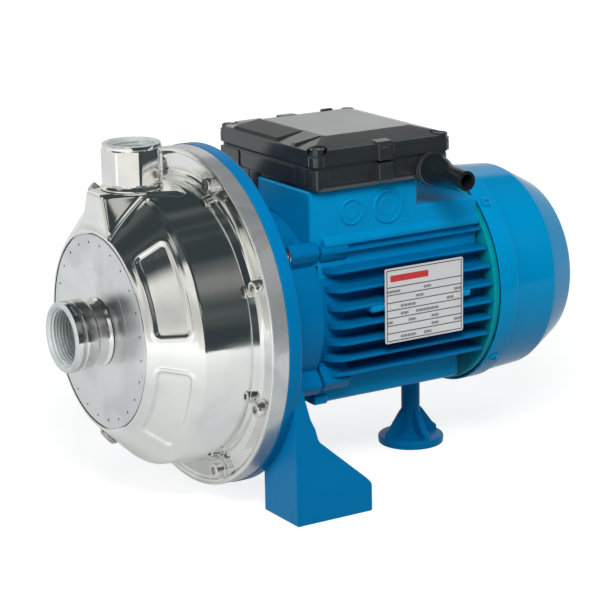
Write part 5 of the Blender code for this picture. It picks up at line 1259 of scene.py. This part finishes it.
tail = {"shieldStart": 190.3, "shieldEnd": 195.8, "shield": 70.0, "lip": 75.6, "lipEnd": 195.2,
        "hub": 30.0, "hubFace": 205.0, "shaft": 10.0, "bossHalf": 6.0, "bossLow": 60.0, "bossTop": 75.0,
        "bossLength": 10.5, "cover": 194.8, "bandLength": 15.0, "band": 77.8, "radius": 75.9,
        "bend": 244.0, "bendRadius": 73.6, "end": 270.0, "endRadius": 58.0, "sheet": 1.6, "slots": 16,
        "slotInner": 18.0, "slotOuter": 48.0, "slotWidth": 4.0, "screwX": 201.3,
        "screwAngles": (40, 130, 230, 320), "screwHead": 4.0, "screwHeight": 2.0, "screwStem": 2.0,
        "screwLength": 7.0, "screwSink": 0.1, "crossHalf": 2.2, "crossWidth": 1.0, "crossDepth": 0.9}


def makeShield():
    t = tail
    start, end, face = t["shieldStart"], t["shieldEnd"], t["hubFace"]
    profile = [(start, t["shaft"]), (start, t["lip"], 0.8), (t["lipEnd"], t["lip"], 1.0),
               (t["lipEnd"] + 0.4, t["shield"], 1.0), (end, t["shield"], 0.6), (end, t["hub"] + 3, 3),
               (face, t["hub"], 1), (face, t["shaft"])]
    parts = [turned("ring", profile, shieldPaint, steps=128)]
    half, low, high = t["bossHalf"], axisHeight + t["bossLow"], axisHeight + t["bossTop"]
    outline = [(-half, low, 1), (half, low, 1), (half, high, 1.5), (-half, high, 1.5)]
    for angle in t["screwAngles"]:
        boss = slab("boss", outline, end - 3, end + t["bossLength"], "x", shieldPaint, 0.8)
        parts.append(turnedBy(boss, angle))
    return evenShading(joined("rearShield", parts))


def coverLine(inset):
    t = tail
    band = t["cover"] + t["bandLength"]
    return [(t["cover"], t["band"] - inset, 0.5), (band - 0.8, t["band"] - 0.2 - inset, 0.8),
            (band + 0.5, t["radius"] - inset, 0.8), (t["bend"], t["bendRadius"] - inset, 6.5),
            (t["end"] - inset, t["endRadius"] + 1.5 - inset, 6.0), (t["end"] - inset, 0.0)]


def makeSlot():
    low, high, half = tail["slotInner"], tail["slotOuter"], tail["slotWidth"] / 2
    outline = [(-half, low, half), (half, low, half), (half, high, half), (-half, high, half)]
    return slab("slot", outline, -8, 8, "x", arc=6)


def makeCover():
    profile = coverLine(0.0) + list(reversed(coverLine(tail["sheet"])))
    shell = turned("fanCover", profile, coverPaint, steps=200, arc=8)
    slots = aroundShaft("slots", makeSlot, coverPaint, tail["end"], 0.0, tail["slots"], 0.0)
    return carve(shell, [slots], 32)


def makeCoverScrew():
    t = tail
    head, height, stem, long, wide = (t["screwHead"], t["screwHeight"], t["screwStem"], t["crossHalf"],
                                      t["crossWidth"] / 2)
    profile = [(-t["screwLength"], 0), (-t["screwLength"], stem), (0.0, stem), (0.0, head, 0.3),
               (height * 0.45, head * 0.96, 0.6), (height, head * 0.45, 1.0), (height * 1.02, 0)]
    screw = turned("screw", profile, None, "z", (0.0, 0.0), 32, angle=50)
    cross = [brick("cross", (-x, -y, height - t["crossDepth"]), (x, y, height + 1))
             for x, y in ((wide, long), (long, wide))]
    return carve(screw, cross, 40)


settle(makeShield(), "blue_paint", "rear_shield")
settle(makeCover(), "blue_paint", "fan_cover")
settle(atAngles("coverScrews", makeCoverScrew, coverPaint, tail["screwX"], tail["band"] - tail["screwSink"],
                tail["screwAngles"], 40), "bright_zinc", *numbered("fan_cover_screw", 4))
print("rear end")


# Terminal box: base, gasket, lid with its raised middle, corner towers and side pillars

box = {"front": 52.5, "back": 163.4, "half": 64.2, "bottom": 208.7, "split": 223.8, "seam": 1.6,
       "rimTop": 236.7, "top": 241.2, "lip": 3.0, "inset": 1.7, "corner": 6.5, "plateauFront": 23.0,
       "plateauBack": 18.0, "plateauSide": 24.5, "towerInset": 6.2, "towerRadius": 4.9,
       "towerTop": 237.6, "towerWell": 1.6, "post": 4.2, "well": 7.0, "pillarHalf": 6.3,
       "pillarReach": 2.8, "pillarTop": 238.5, "screwHead": 3.1, "screwStem": 1.7, "screwLength": 8.0,
       "slotHalf": 0.45, "panels": ((64.5, 95.95), (117.95, 130.4)), "panelLow": 4.5,
       # columns of the front wall: from y to y, height of the foot above the bottom, how far proud
       "columns": ((-61, -56.5, 1, 0.9), (-50, -47, 3, 0.9), (36, 61, 1, 0.9), (-38, 31, 2, 0.5)),
       # the tab stands for the shade in a notch of the front wall: painted shade
       "shadeTab": (10.5, 21.5), "shadeTabDrop": 17.0, "skirt": (21.0, 60.0), "skirtDrop": 10.0,
       # the block under the back of the box stands for the shade under its overhang: painted shade
       "prop": (155.4, 160.4), "shadeBlockHalf": 58.0, "shadeBlockDrop": 5.5, "hood": (-14, 42), "step": (-38, -33),
       "landing": ((53.7, 61, 2), (53.7, 44, 1), (73.5, 42, 2), (78.5, 46, 3), (88.5, 62, 2)),
       "catch": (137.4, 146.4)}
boxMiddle = (box["front"] + box["back"]) / 2
boxCorners = [(x, side * (box["half"] - box["towerInset"]))
              for x in (box["front"] + box["towerInset"], box["back"] - box["towerInset"])
              for side in (-1, 1)]


def boxOutline(insets, level, corner):
    front, rear, side = insets
    start, end, half = box["front"] + front, box["back"] - rear, box["half"] - side
    outline = [(start, -half, corner), (end, -half, corner), (end, half, corner), (start, half, corner)]
    return [(x, y, level) for x, y in roundCorners(outline)]


def evenly(*steps):
    # One outline for each pair of inset and level
    return [boxOutline((inset, inset, inset), level, box["corner"]) for inset, level in steps]


def makeBoxBase():
    b = box
    i, low, high = b["inset"], b["bottom"], b["split"]
    levels = evenly((i + 3, low), (i + 0.9, low), (i + 0.35, low + 0.35), (i + 0.2, low + 2.2),
                    (i - 0.1, low + 2.7), (i, low + 3.2), (i, high - 0.6), (i + 0.4, high), (i + 2.4, high),
                    (i + 2.5, low + 2.5), (i + 3.0, low + 2.5))
    parts = [stack("base", levels, boxPlastic, 40)]
    wall, half = b["half"] - i, b["pillarHalf"]
    for side in (-1, 1):
        for x0, x1 in b["panels"]:
            near, far = sideSpan(side, wall - 1.0, wall + 0.45)
            parts.append(brick("panel", (x0, near, low + b["panelLow"]), (x1, far, high - 2.0),
                               boxPlastic, 0.4, 2))
        near, far = sideSpan(side, wall - 2, b["half"] + b["pillarReach"])
        parts.append(brick("pillar", (boxMiddle - half, near, low + 2.4), (boxMiddle + half, far, high),
                           boxPlastic, 1.2))
    radius = b["post"]
    post = [(low + 1, 0), (low + 1, radius, 0.5), (high - 0.3, radius, 0.4), (high - 0.3, 0)]
    parts += [turned("post", post, boxPlastic, "z", place, 40) for place in boxCorners]
    # The front wall has columns and a panel; a skirt reaches down over the pedestal, and a black tab beside
    # it stands for the shade in a notch of the wall.
    front = b["front"] + i
    for near, far, foot, proud in b["columns"]:
        parts.append(brick("column", (front - proud, near, low + foot), (front + 1, far, high - 1.2),
                           boxPlastic, 0.4, 2))
    back, prop, (x0, x1) = b["front"] + 3, b["shadeBlockHalf"], b["prop"]
    for (near, far), start, drop in ((b["shadeTab"], 0.5, b["shadeTabDrop"]), (b["skirt"], 0.1, b["skirtDrop"])):
        parts.append(brick("skirt", (b["front"] + start, near, low - drop), (back, far, low + 3),
                           boxPlastic, 0.4, 2))
    # A black block under the back of the box stands for the shade under its overhang: painted shade.
    parts.append(brick("prop", (x0, -prop, low - b["shadeBlockDrop"]), (x1, prop, low + 3), boxPlastic, 1.2))
    return evenShading(joined("boxBase", parts))


def makePillarCap(side):
    b = box
    face, root, top = b["half"] + b["pillarReach"], b["half"] - 3, b["pillarTop"]
    low, half = b["split"] + b["seam"], b["pillarHalf"]
    outline = [(root, low), (face, low, 0.8), (face, top - 3.2, 2.0), (face - 2.2, top - 0.6, 1.6),
               (root - 6, top, 1.5), (root - 6, b["split"] + 6)]
    scoop = [(face + 1.6, b["split"] - 2), (face + 1.6, top - 1), (face - 1.1, top - 4.5, 1.5),
             (face - 1.1, b["split"] - 2)]

    def cut(line, reach, edge):
        return slab("cap", [(side * out, *rest) for out, *rest in line], boxMiddle - reach,
                    boxMiddle + reach, "x", boxPlastic, edge)
    return carve(cut(outline, half, 1.3), [cut(scoop, half - 1.7, 0.0)], 50)


def makeLidShell(low, lip, plateau, wells):
    rim, top = box["rimTop"], box["top"]

    def partWay(share, level, corner=4.0):
        return boxOutline([inset * share for inset in plateau], level, corner)
    outside = evenly((3.0, low), (0.9, low), (0.5, low + 0.4), (0.5, lip - 0.3), (0.0, lip),
                     (0.0, rim - 0.7), (0.2, rim - 0.2), (0.8, rim))
    raised = [partWay(0.07, rim + 0.05, 6.0), partWay(0.5, rim + (top - rim) * 0.5),
              partWay(0.97, top - 0.15), partWay(1.0, top - 0.03), partWay(1.04, top)]
    inside = [partWay(1.2, top - 2.0)] + evenly((4.0, rim - 1.4), (3.0, low + 0.2))
    lid = stack("lid", outside + raised + inside, boxPlastic, 30)
    # Lid faces above the rim that turn to the near side take the plastic that hardly mirrors: painted shade.
    paintFaces(lid, shadedSlopePlastic, lambda face: face.center.z > rim * mm and face.normal.y < -0.05)
    return carve(lid, wells, 30)


def makeBoxLid():
    b = box
    low, rim, top = b["split"] + b["seam"], b["rimTop"], b["top"]
    radius, high = b["towerRadius"], b["towerTop"]
    plateau = (b["plateauFront"], b["plateauBack"], b["plateauSide"])
    lip, floor = rim - b["lip"], high - b["towerWell"]

    def makeWell(bottom, place):
        return turned("well", rod(bottom, top + 3, b["well"]), boxPlastic, "z", place, 40)
    parts = [makeLidShell(low, lip, plateau, [makeWell(lip + 0.6, place) for place in boxCorners])]
    # The pale top slab is a painted reflection of the bright room on the lid's top.
    flat = boxOutline([inset + 0.8 for inset in plateau], 0, 4)
    parts.append(slab("plateau", [point[:2] for point in flat], top - 2.5, top + 0.12, "z", paintedSheenPlastic,
                      0.3, 2))
    tower = [(low + 0.5, 0), (low + 0.5, radius + 1.1), (lip - 1.5, radius + 1.1, 1.5),
             (lip + 0.5, radius, 0.8), (high, radius, 0.9), (high, radius - 1.3, 0.4),
             (floor, radius - 1.5, 0.3), (floor, 0)]
    parts += [turned("tower", tower, boxPlastic, "z", place, 40) for place in boxCorners]
    parts += [makePillarCap(side) for side in (-1, 1)]
    # The front slope has a raised hood, a small step beside it and a flat landing at the far corner.
    front, middle = b["front"] + 0.3, b["front"] + plateau[0]
    hood = [(front, rim - 2.6), (front, rim - 0.3, 0.5), (front + 1.9, rim + 2.0, 1.0),
            (middle - 2, top + 0.3, 1.0), (middle + 1, top - 0.2), (middle + 2, rim - 2.6)]
    # The hood is in the plastic that hardly mirrors: painted shade.
    for ends, plastic, edge in ((b["hood"], shadedSlopePlastic, 0.7), (b["step"], boxPlastic, 0.5)):
        parts.append(slab("hood", hood, *ends, "y", plastic, edge, 2))
    # The landing is pale grey too: a painted reflection.
    landing = slab("landing", b["landing"], rim - 1, rim + 1.2, "z", paintedSheenPlastic, 0.4, 2)
    parts.append(carve(landing, [makeWell(lip, boxCorners[1])], 30))
    x0, x1 = b["catch"]
    parts.append(brick("catch", (x0, b["half"] - 4, rim - 3), (x1, b["half"] - 0.4, rim + 1.8),
                       boxPlastic, 0.7, 2))
    return evenShading(joined("boxLid", parts))


def makeGasket():
    low = box["split"] + 0.2
    levels = evenly((1.9, low), (1.5, low + 0.2), (1.5, low + 1.1), (1.9, low + 1.3), (3.4, low + 1.3),
                    (3.4, low))
    return stack("boxGasket", levels, sealRubber, 40)


def makeBoxScrew(place):
    b = box
    seat, head, stem, (x, y) = b["towerTop"] - b["towerWell"], b["screwHead"], b["screwStem"], place
    low = seat - b["screwLength"]
    profile = [(low, 0), (low, stem), (seat, stem), (seat, head, 0.3), (seat + 1.0, head * 0.9, 0.5),
               (seat + 1.5, 1.0, 0.6), (seat + 1.5, 0)]
    slot = brick("slot", (x - 3.5, y - b["slotHalf"], seat + 0.7), (x + 3.5, y + b["slotHalf"], seat + 3),
                 zincMetal)
    return carve(turned("screw", profile, zincMetal, "z", place, 32, angle=50), [slot], 40)


settle(makeBoxBase(), "black_plastic", "terminal_box_base")
settle(makeGasket(), "rubber", "terminal_box_gasket")
settle(makeBoxLid(), "black_plastic", "terminal_box_cover")
settle(joined("boxScrews", [makeBoxScrew(place) for place in boxCorners]), "bright_zinc",
       *numbered("box_cover_screw", 4))
print("terminal box")


# Cable gland and its bulbous sleeve, open at the end

gland = {"x": 145.2, "z": 215.2, "wall": -64.5, "flange": 11.8, "thick": 3.0, "bore": 4.9, "thread": 7.8,
         "inner": -56.0, "yokeHalf": 12.6, "yokeTop": 10.5, "sleeve": 38.5, "base": 10.4, "tip": 6.7,
         "hole": 4.6, "bulgeStart": 3.0, "bulgeLength": 17.0, "bulgeEnd": 21.0, "notch": 0.25,
         "droop": 0.06}


def makeGland():
    g = gland
    face, wall, centre, half = g["wall"] - g["thick"], g["wall"], (g["x"], g["z"]), g["yokeHalf"]
    profile = [(g["inner"], g["bore"]), (g["inner"], g["thread"]), (wall, g["thread"]),
               (wall, g["flange"]), (face, g["flange"], 1.0), (face, g["bore"])]
    ring = turned("ring", profile, boxPlastic, "y", centre, 96)
    low, knee, top = box["bottom"] + 0.3, g["z"] + 1, g["z"] + g["yokeTop"]
    yoke = [(-half, low, 2), (half, low, 2), (half, knee, 6), (8, top, 6), (-8, top, 6), (-half, knee, 6)]
    plate = slab("yoke", [(g["x"] + x, *rest) for x, *rest in yoke], wall - 1.4, wall + 0.2, "y",
                 boxPlastic, 0.6, 3, 8)
    hole = turned("hole", rod(-80, -40, g["bore"]), boxPlastic, "y", centre, 48)
    return evenShading(joined("cableGland", [ring, carve(plate, [hole], 50)]))


def makeSleeve():
    g = gland
    start = g["wall"] - g["thick"] - 0.3
    end, tip, hole, steps = start - g["sleeve"], g["tip"], g["hole"], 12
    profile = [(start, hole), (start, g["base"] - 0.6, 1.0)]
    for step in range(1, steps + 1):
        reach = g["bulgeEnd"] * step / steps
        past = min(1.0, max(0.0, (reach - g["bulgeStart"]) / g["bulgeLength"]))
        bulge = 0.5 + 0.5 * cos(pi * past)
        notch = g["notch"] if step == steps - 1 else 0
        profile.append((start - reach, tip + (g["base"] - tip) * bulge - notch))
    profile += [(end + 2.4, tip - 0.2, 1.0), (end + 1.2, tip + 0.25, 0.8), (end, tip - 0.1, 0.8),
                (end, hole + 0.3, 0.4), (end + 8, hole), (start - 3, hole)]
    sleeve = turned("cordProtector", profile, sleeveRubber, "y", (g["x"], g["z"]), 96, angle=50)
    for vertex in sleeve.data.vertices:
        vertex.co.z -= g["droop"] * max(0.0, start * mm - vertex.co.y)
    return sleeve


settle(makeGland(), "black_plastic", "cable_gland")
settle(makeSleeve(), "rubber", "cord_protector")


# Rear foot with four webs

foot = {"x": 170.8, "radius": 23.8, "rim": 5.5, "stem": 6.7, "top": 57.3, "webTop": 26.5, "webHalf": 2.2,
        "webs": 4, "stud": 4.0, "studTop": 62.0}


def makeRearFoot():
    f = foot
    rim, stem, radius, top = f["rim"], f["stem"], f["radius"], f["webTop"]
    profile = [(0, 0), (0, radius - 0.4, 0.6), (rim, radius, 1.6), (rim + 0.6, stem + 7, 3),
               (rim + 4, stem, 4), (f["top"], stem, 0.6), (f["top"], f["stud"]),
               (f["studTop"], f["stud"], 0.5), (f["studTop"], 0)]
    # The rear foot is in the darker copy of the blue paint: painted shade.
    parts = [turned("stem", profile, shadedBluePaint, "z", (f["x"], 0.0), 96)]
    web = [(0, rim - 2), (radius - 2, rim - 2), (radius - 2.2, rim + 3.2, 2), (radius - 6, rim + 6.5, 4),
           (stem + 2.5, top - 3, 3), (stem - 0.5, top, 2), (0, top)]
    place = Matrix.Translation((f["x"] * mm + discFace, 0, 0))
    for step in range(f["webs"]):
        wing = slab("web", web, -f["webHalf"], f["webHalf"], "y", shadedBluePaint, 1.1)
        wing.data.transform(place @ Matrix.Rotation(2 * pi * step / f["webs"], 4, "Z") @ toOrigin)
        parts.append(wing)
    return evenShading(joined("rearFoot", parts))


settle(makeRearFoot(), "blue_paint", "rear_foot")


# Two plugs on the far side of the cone

plugs = {"priming_plug": {"name": "primingPlug", "angle": 338, "share": 0.93, "body": 2.5, "head": 4.0,
                          "height": 8.5},
         "drain_plug": {"name": "drainPlug", "angle": 199, "share": 0.78, "body": 5.0, "head": 6.5,
                        "height": 3.2}}
plugSeat = {"washer": 1.0, "washerThick": 1.6, "seat": 0.8, "reach": 4.0, "flat": 0.9}


def makePlug(look):
    p, body, head = plugSeat, look["body"], look["head"]
    seat, wide = p["seat"], head + p["washer"]
    under, top = seat + p["washerThick"], seat + look["height"]
    profile = [(-p["reach"], 0), (-p["reach"], body), (seat, body), (seat, wide, 0.3), (under, wide, 0.3),
               (under, head, 0.1), (top - 0.3, head, 0.2), (top, head * 0.8, 0.3), (top, 0)]

    def sixSided(along, radius, spin):
        if along <= under - 0.05 or radius < head * p["flat"]:
            return np.full(len(spin), radius)
        return np.minimum(evenSided(spin, head * p["flat"], 6), radius)
    piece = turned(look["name"], profile, zincMetal, "z", (0.0, 0.0), 48, sixSided, 25)
    start, cone = np.array(casing["coneStart"]), np.subtract(casing["coneEnd"], casing["coneStart"])
    spot = start + look["share"] * cone
    out = Vector((-cone[1], 0, cone[0])).normalized()
    lean = out.to_track_quat("Z", "Y").to_matrix().to_4x4()
    place = Matrix.Translation((discFace + spot[0] * mm, 0, (axisHeight + spot[1]) * mm))
    piece.data.transform(place @ lean @ toOrigin)
    return turnedBy(piece, look["angle"])


for node, look in plugs.items():
    settle(makePlug(look), "bright_zinc", node)
print("foot, gland and plugs")


# What stays as the frame gives it, inside: each gets its finish by the name of its slot

insideFinish = {"polished_steel": portSteel, "brushed_steel": brushedSteel, "bright_zinc": zincMetal,
                "blue_paint": bluePaint, "black_plastic": boxPlastic, "grey_plastic": greyPlastic,
                "rubber": sealRubber, "ceramic": sealCeramic, "copper": copperWire,
                "lamination": laminations, "plate_metal": brushedSteel}
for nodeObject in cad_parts.values():
    for slot in nodeObject.material_slots:
        name = slot.material.name.split(".")[0] if slot.material else ""
        if name in insideFinish:
            slot.material = insideFinish[name]


# Floor, surroundings, lamps and camera. Here all is in metres and degrees.

studio = {"behind": 4.0, "near": 0.62, "left": 2.6, "right": 2.6, "azimuth": -31.4, "elevation": 14.7,
          "roll": -1.1, "distance": 1.609, "target": (-0.0038, 0.0, 0.1195), "lens": 139.1,
          "dark": (0.040, 0.053, 0.058), "warm": (1.0, 0.985, 0.94), "ambient": (0.12, 0.13, 0.14),
          "back": (0.087, 0.996, 0), "side": (-0.94, -0.342, 0), "aim": (0, 0, 0.12),
          # bright panes of the room: way to the pane, its half size, its soft border, its strength
          "panes": (((0.52, -0.66, 0.54), 7, 16, 0.20), ((-0.62, -0.05, 0.78), 4, 7, 0.45),
                    ((-0.20, -0.92, 0.33), 4, 3, 0.55), ((-0.59, -0.53, 0.60), 7, 7, 0.90)),
          # lamps: place, power, size
          "lamps": {"keyLamp": ((-0.42, -0.75, 0.85), 9.5, 0.45), "fillLamp": ((1.2, -0.9, 0.75), 5.0, 0.6),
                    "topLamp": ((0.1, 0.3, 1.9), 6.0, 1.2), "sideLamp": ((-1.35, -0.35, 0.45), 8.0, 0.6)}}


def floorMaterial():
    # Pale floor: white to the camera apart from a faint shadow; in mirrors, greyer below the pump: a painted
    # shadow.
    material, tree, shader = newMaterial("paleFloor")
    path = addNode(tree, "ShaderNodeLightPath").outputs
    away = addNode(tree, "ShaderNodeVectorMath", {0: objectSpot(tree)}, operation="LENGTH").outputs["Value"]
    mirrorGlowWithShadow = largest(tree, path["Is Glossy Ray"], path["Is Transmission Ray"])
    # Painted shadow: the floor that the steel mirrors dims towards the pump.
    mirrorGlowWithShadow = times(tree, mirrorGlowWithShadow, ramp(tree, away, 0.05, 0.75, 0.38, 0.72))
    seen = times(tree, path["Is Camera Ray"], ramp(tree, away, 0.4, 1.3, 0.80, 1.0))
    glow = largest(tree, plus(tree, seen, mirrorGlowWithShadow), 0.10)
    feed(tree, shader.inputs, {"Base Color": (0.36, 0.36, 0.36, 1), "Roughness": 0.9,
                               "Specular IOR Level": 0.0, "Emission Color": (1, 1, 1, 1),
                               "Emission Strength": glow})
    return material


def makeFloor():
    s = studio
    mesh = bpy.data.meshes.new("floor")
    corners = [(-s["left"], -s["near"], 0), (s["right"], -s["near"], 0), (s["right"], s["behind"], 0),
               (-s["left"], s["behind"], 0)]
    mesh.from_pydata(corners, [], [(0, 1, 2, 3)])
    mesh.materials.append(floorMaterial())
    floor = showMesh("floor", mesh)


def makeSurroundings():
    # What the polished steel mirrors: a bright wall on the left and behind, a dark room elsewhere.
    s = studio
    world = bpy.data.worlds.new("studioRoom")
    bpy.context.scene.world = world
    world.use_nodes = True
    tree = world.node_tree
    background = tree.nodes["Background"]
    way = addNode(tree, "ShaderNodeTexCoord").outputs["Generated"]
    parts = split(tree, way)
    level = addNode(tree, "ShaderNodeVectorMath", {0: combined(tree, parts["X"], parts["Y"])},
                    operation="NORMALIZE").outputs[0]

    def toward(direction, source):
        unit = tuple(Vector(direction).normalized())
        made = addNode(tree, "ShaderNodeVectorMath", {0: source, 1: unit}, operation="DOT_PRODUCT")
        return made.outputs["Value"]
    # The bright wall ends at a height that changes round the room, and dims away from its middle.
    back, left = toward(s["back"], level), toward(s["side"], level)
    capBack = plus(tree, ramp(tree, back, -0.75, -0.12, -0.35, 0.27), ramp(tree, back, -0.05, 0.9, 0.0, 0.30))
    cap = largest(tree, capBack, ramp(tree, left, 0.60, 0.90, -0.40, 0.57))
    white = ramp(tree, minus(tree, parts["Z"], cap), -0.07, 0.05, 1.0, 0.0)
    white = times(tree, white, ramp(tree, offFrom(tree, parts["Z"], 0.18), 0.05, 0.36, 0.66, 1.0))
    panes = times(tree, ramp(tree, noise(tree, way, 3.2, 2.0), 0.42, 0.72), 0.07)
    for direction, size, border, strength in s["panes"]:
        glow = ramp(tree, toward(direction, way), cos(radians(size + border)), cos(radians(size)))
        panes = plus(tree, panes, times(tree, glow, strength))
    room = blend(tree, largest(tree, white, panes), (*s["dark"], 1), (*s["warm"], 1))
    path = addNode(tree, "ShaderNodeLightPath").outputs
    room = blend(tree, path["Is Diffuse Ray"], room, (*s["ambient"], 1))
    feed(tree, background.inputs, {"Color": blend(tree, path["Is Camera Ray"], room, (1, 1, 1, 1)),
                                   "Strength": 1.0})


def addLamp(name, place, power, size):
    lamp = bpy.data.lights.new(name, "AREA")
    lamp.energy, lamp.shape, lamp.size = power, "DISK", size
    holder = bpy.data.objects.new(name, lamp)
    holder.location = place
    holder.rotation_euler = (Vector(studio["aim"]) - Vector(place)).to_track_quat("-Z", "Y").to_euler()
    holder.visible_glossy = False
    bpy.context.scene.collection.objects.link(holder)


def addCamera():
    s = studio
    turn, rise, roll = radians(s["azimuth"]), radians(s["elevation"]), radians(s["roll"])
    back = Vector((sin(turn) * cos(rise), -cos(turn) * cos(rise), sin(rise)))
    right = (-back).cross(Vector((0, 0, 1))).normalized()
    up = right.cross(-back)
    rightRolled = cos(roll) * right + sin(roll) * up
    upRolled = cos(roll) * up - sin(roll) * right
    lens = bpy.data.cameras.new("camera")
    lens.lens, lens.sensor_width = s["lens"], 36.0
    camera = bpy.data.objects.new("camera", lens)
    facing = Matrix((rightRolled, upRolled, back)).transposed().to_4x4()
    camera.matrix_world = Matrix.Translation(Vector(s["target"]) + back * s["distance"]) @ facing
    bpy.context.scene.collection.objects.link(camera)
    bpy.context.scene.camera = camera


makeFloor()
makeSurroundings()
for lampName, (place, power, size) in studio["lamps"].items():
    addLamp(lampName, place, power, size)
addCamera()
bpy.context.scene.view_settings.view_transform = "Standard"
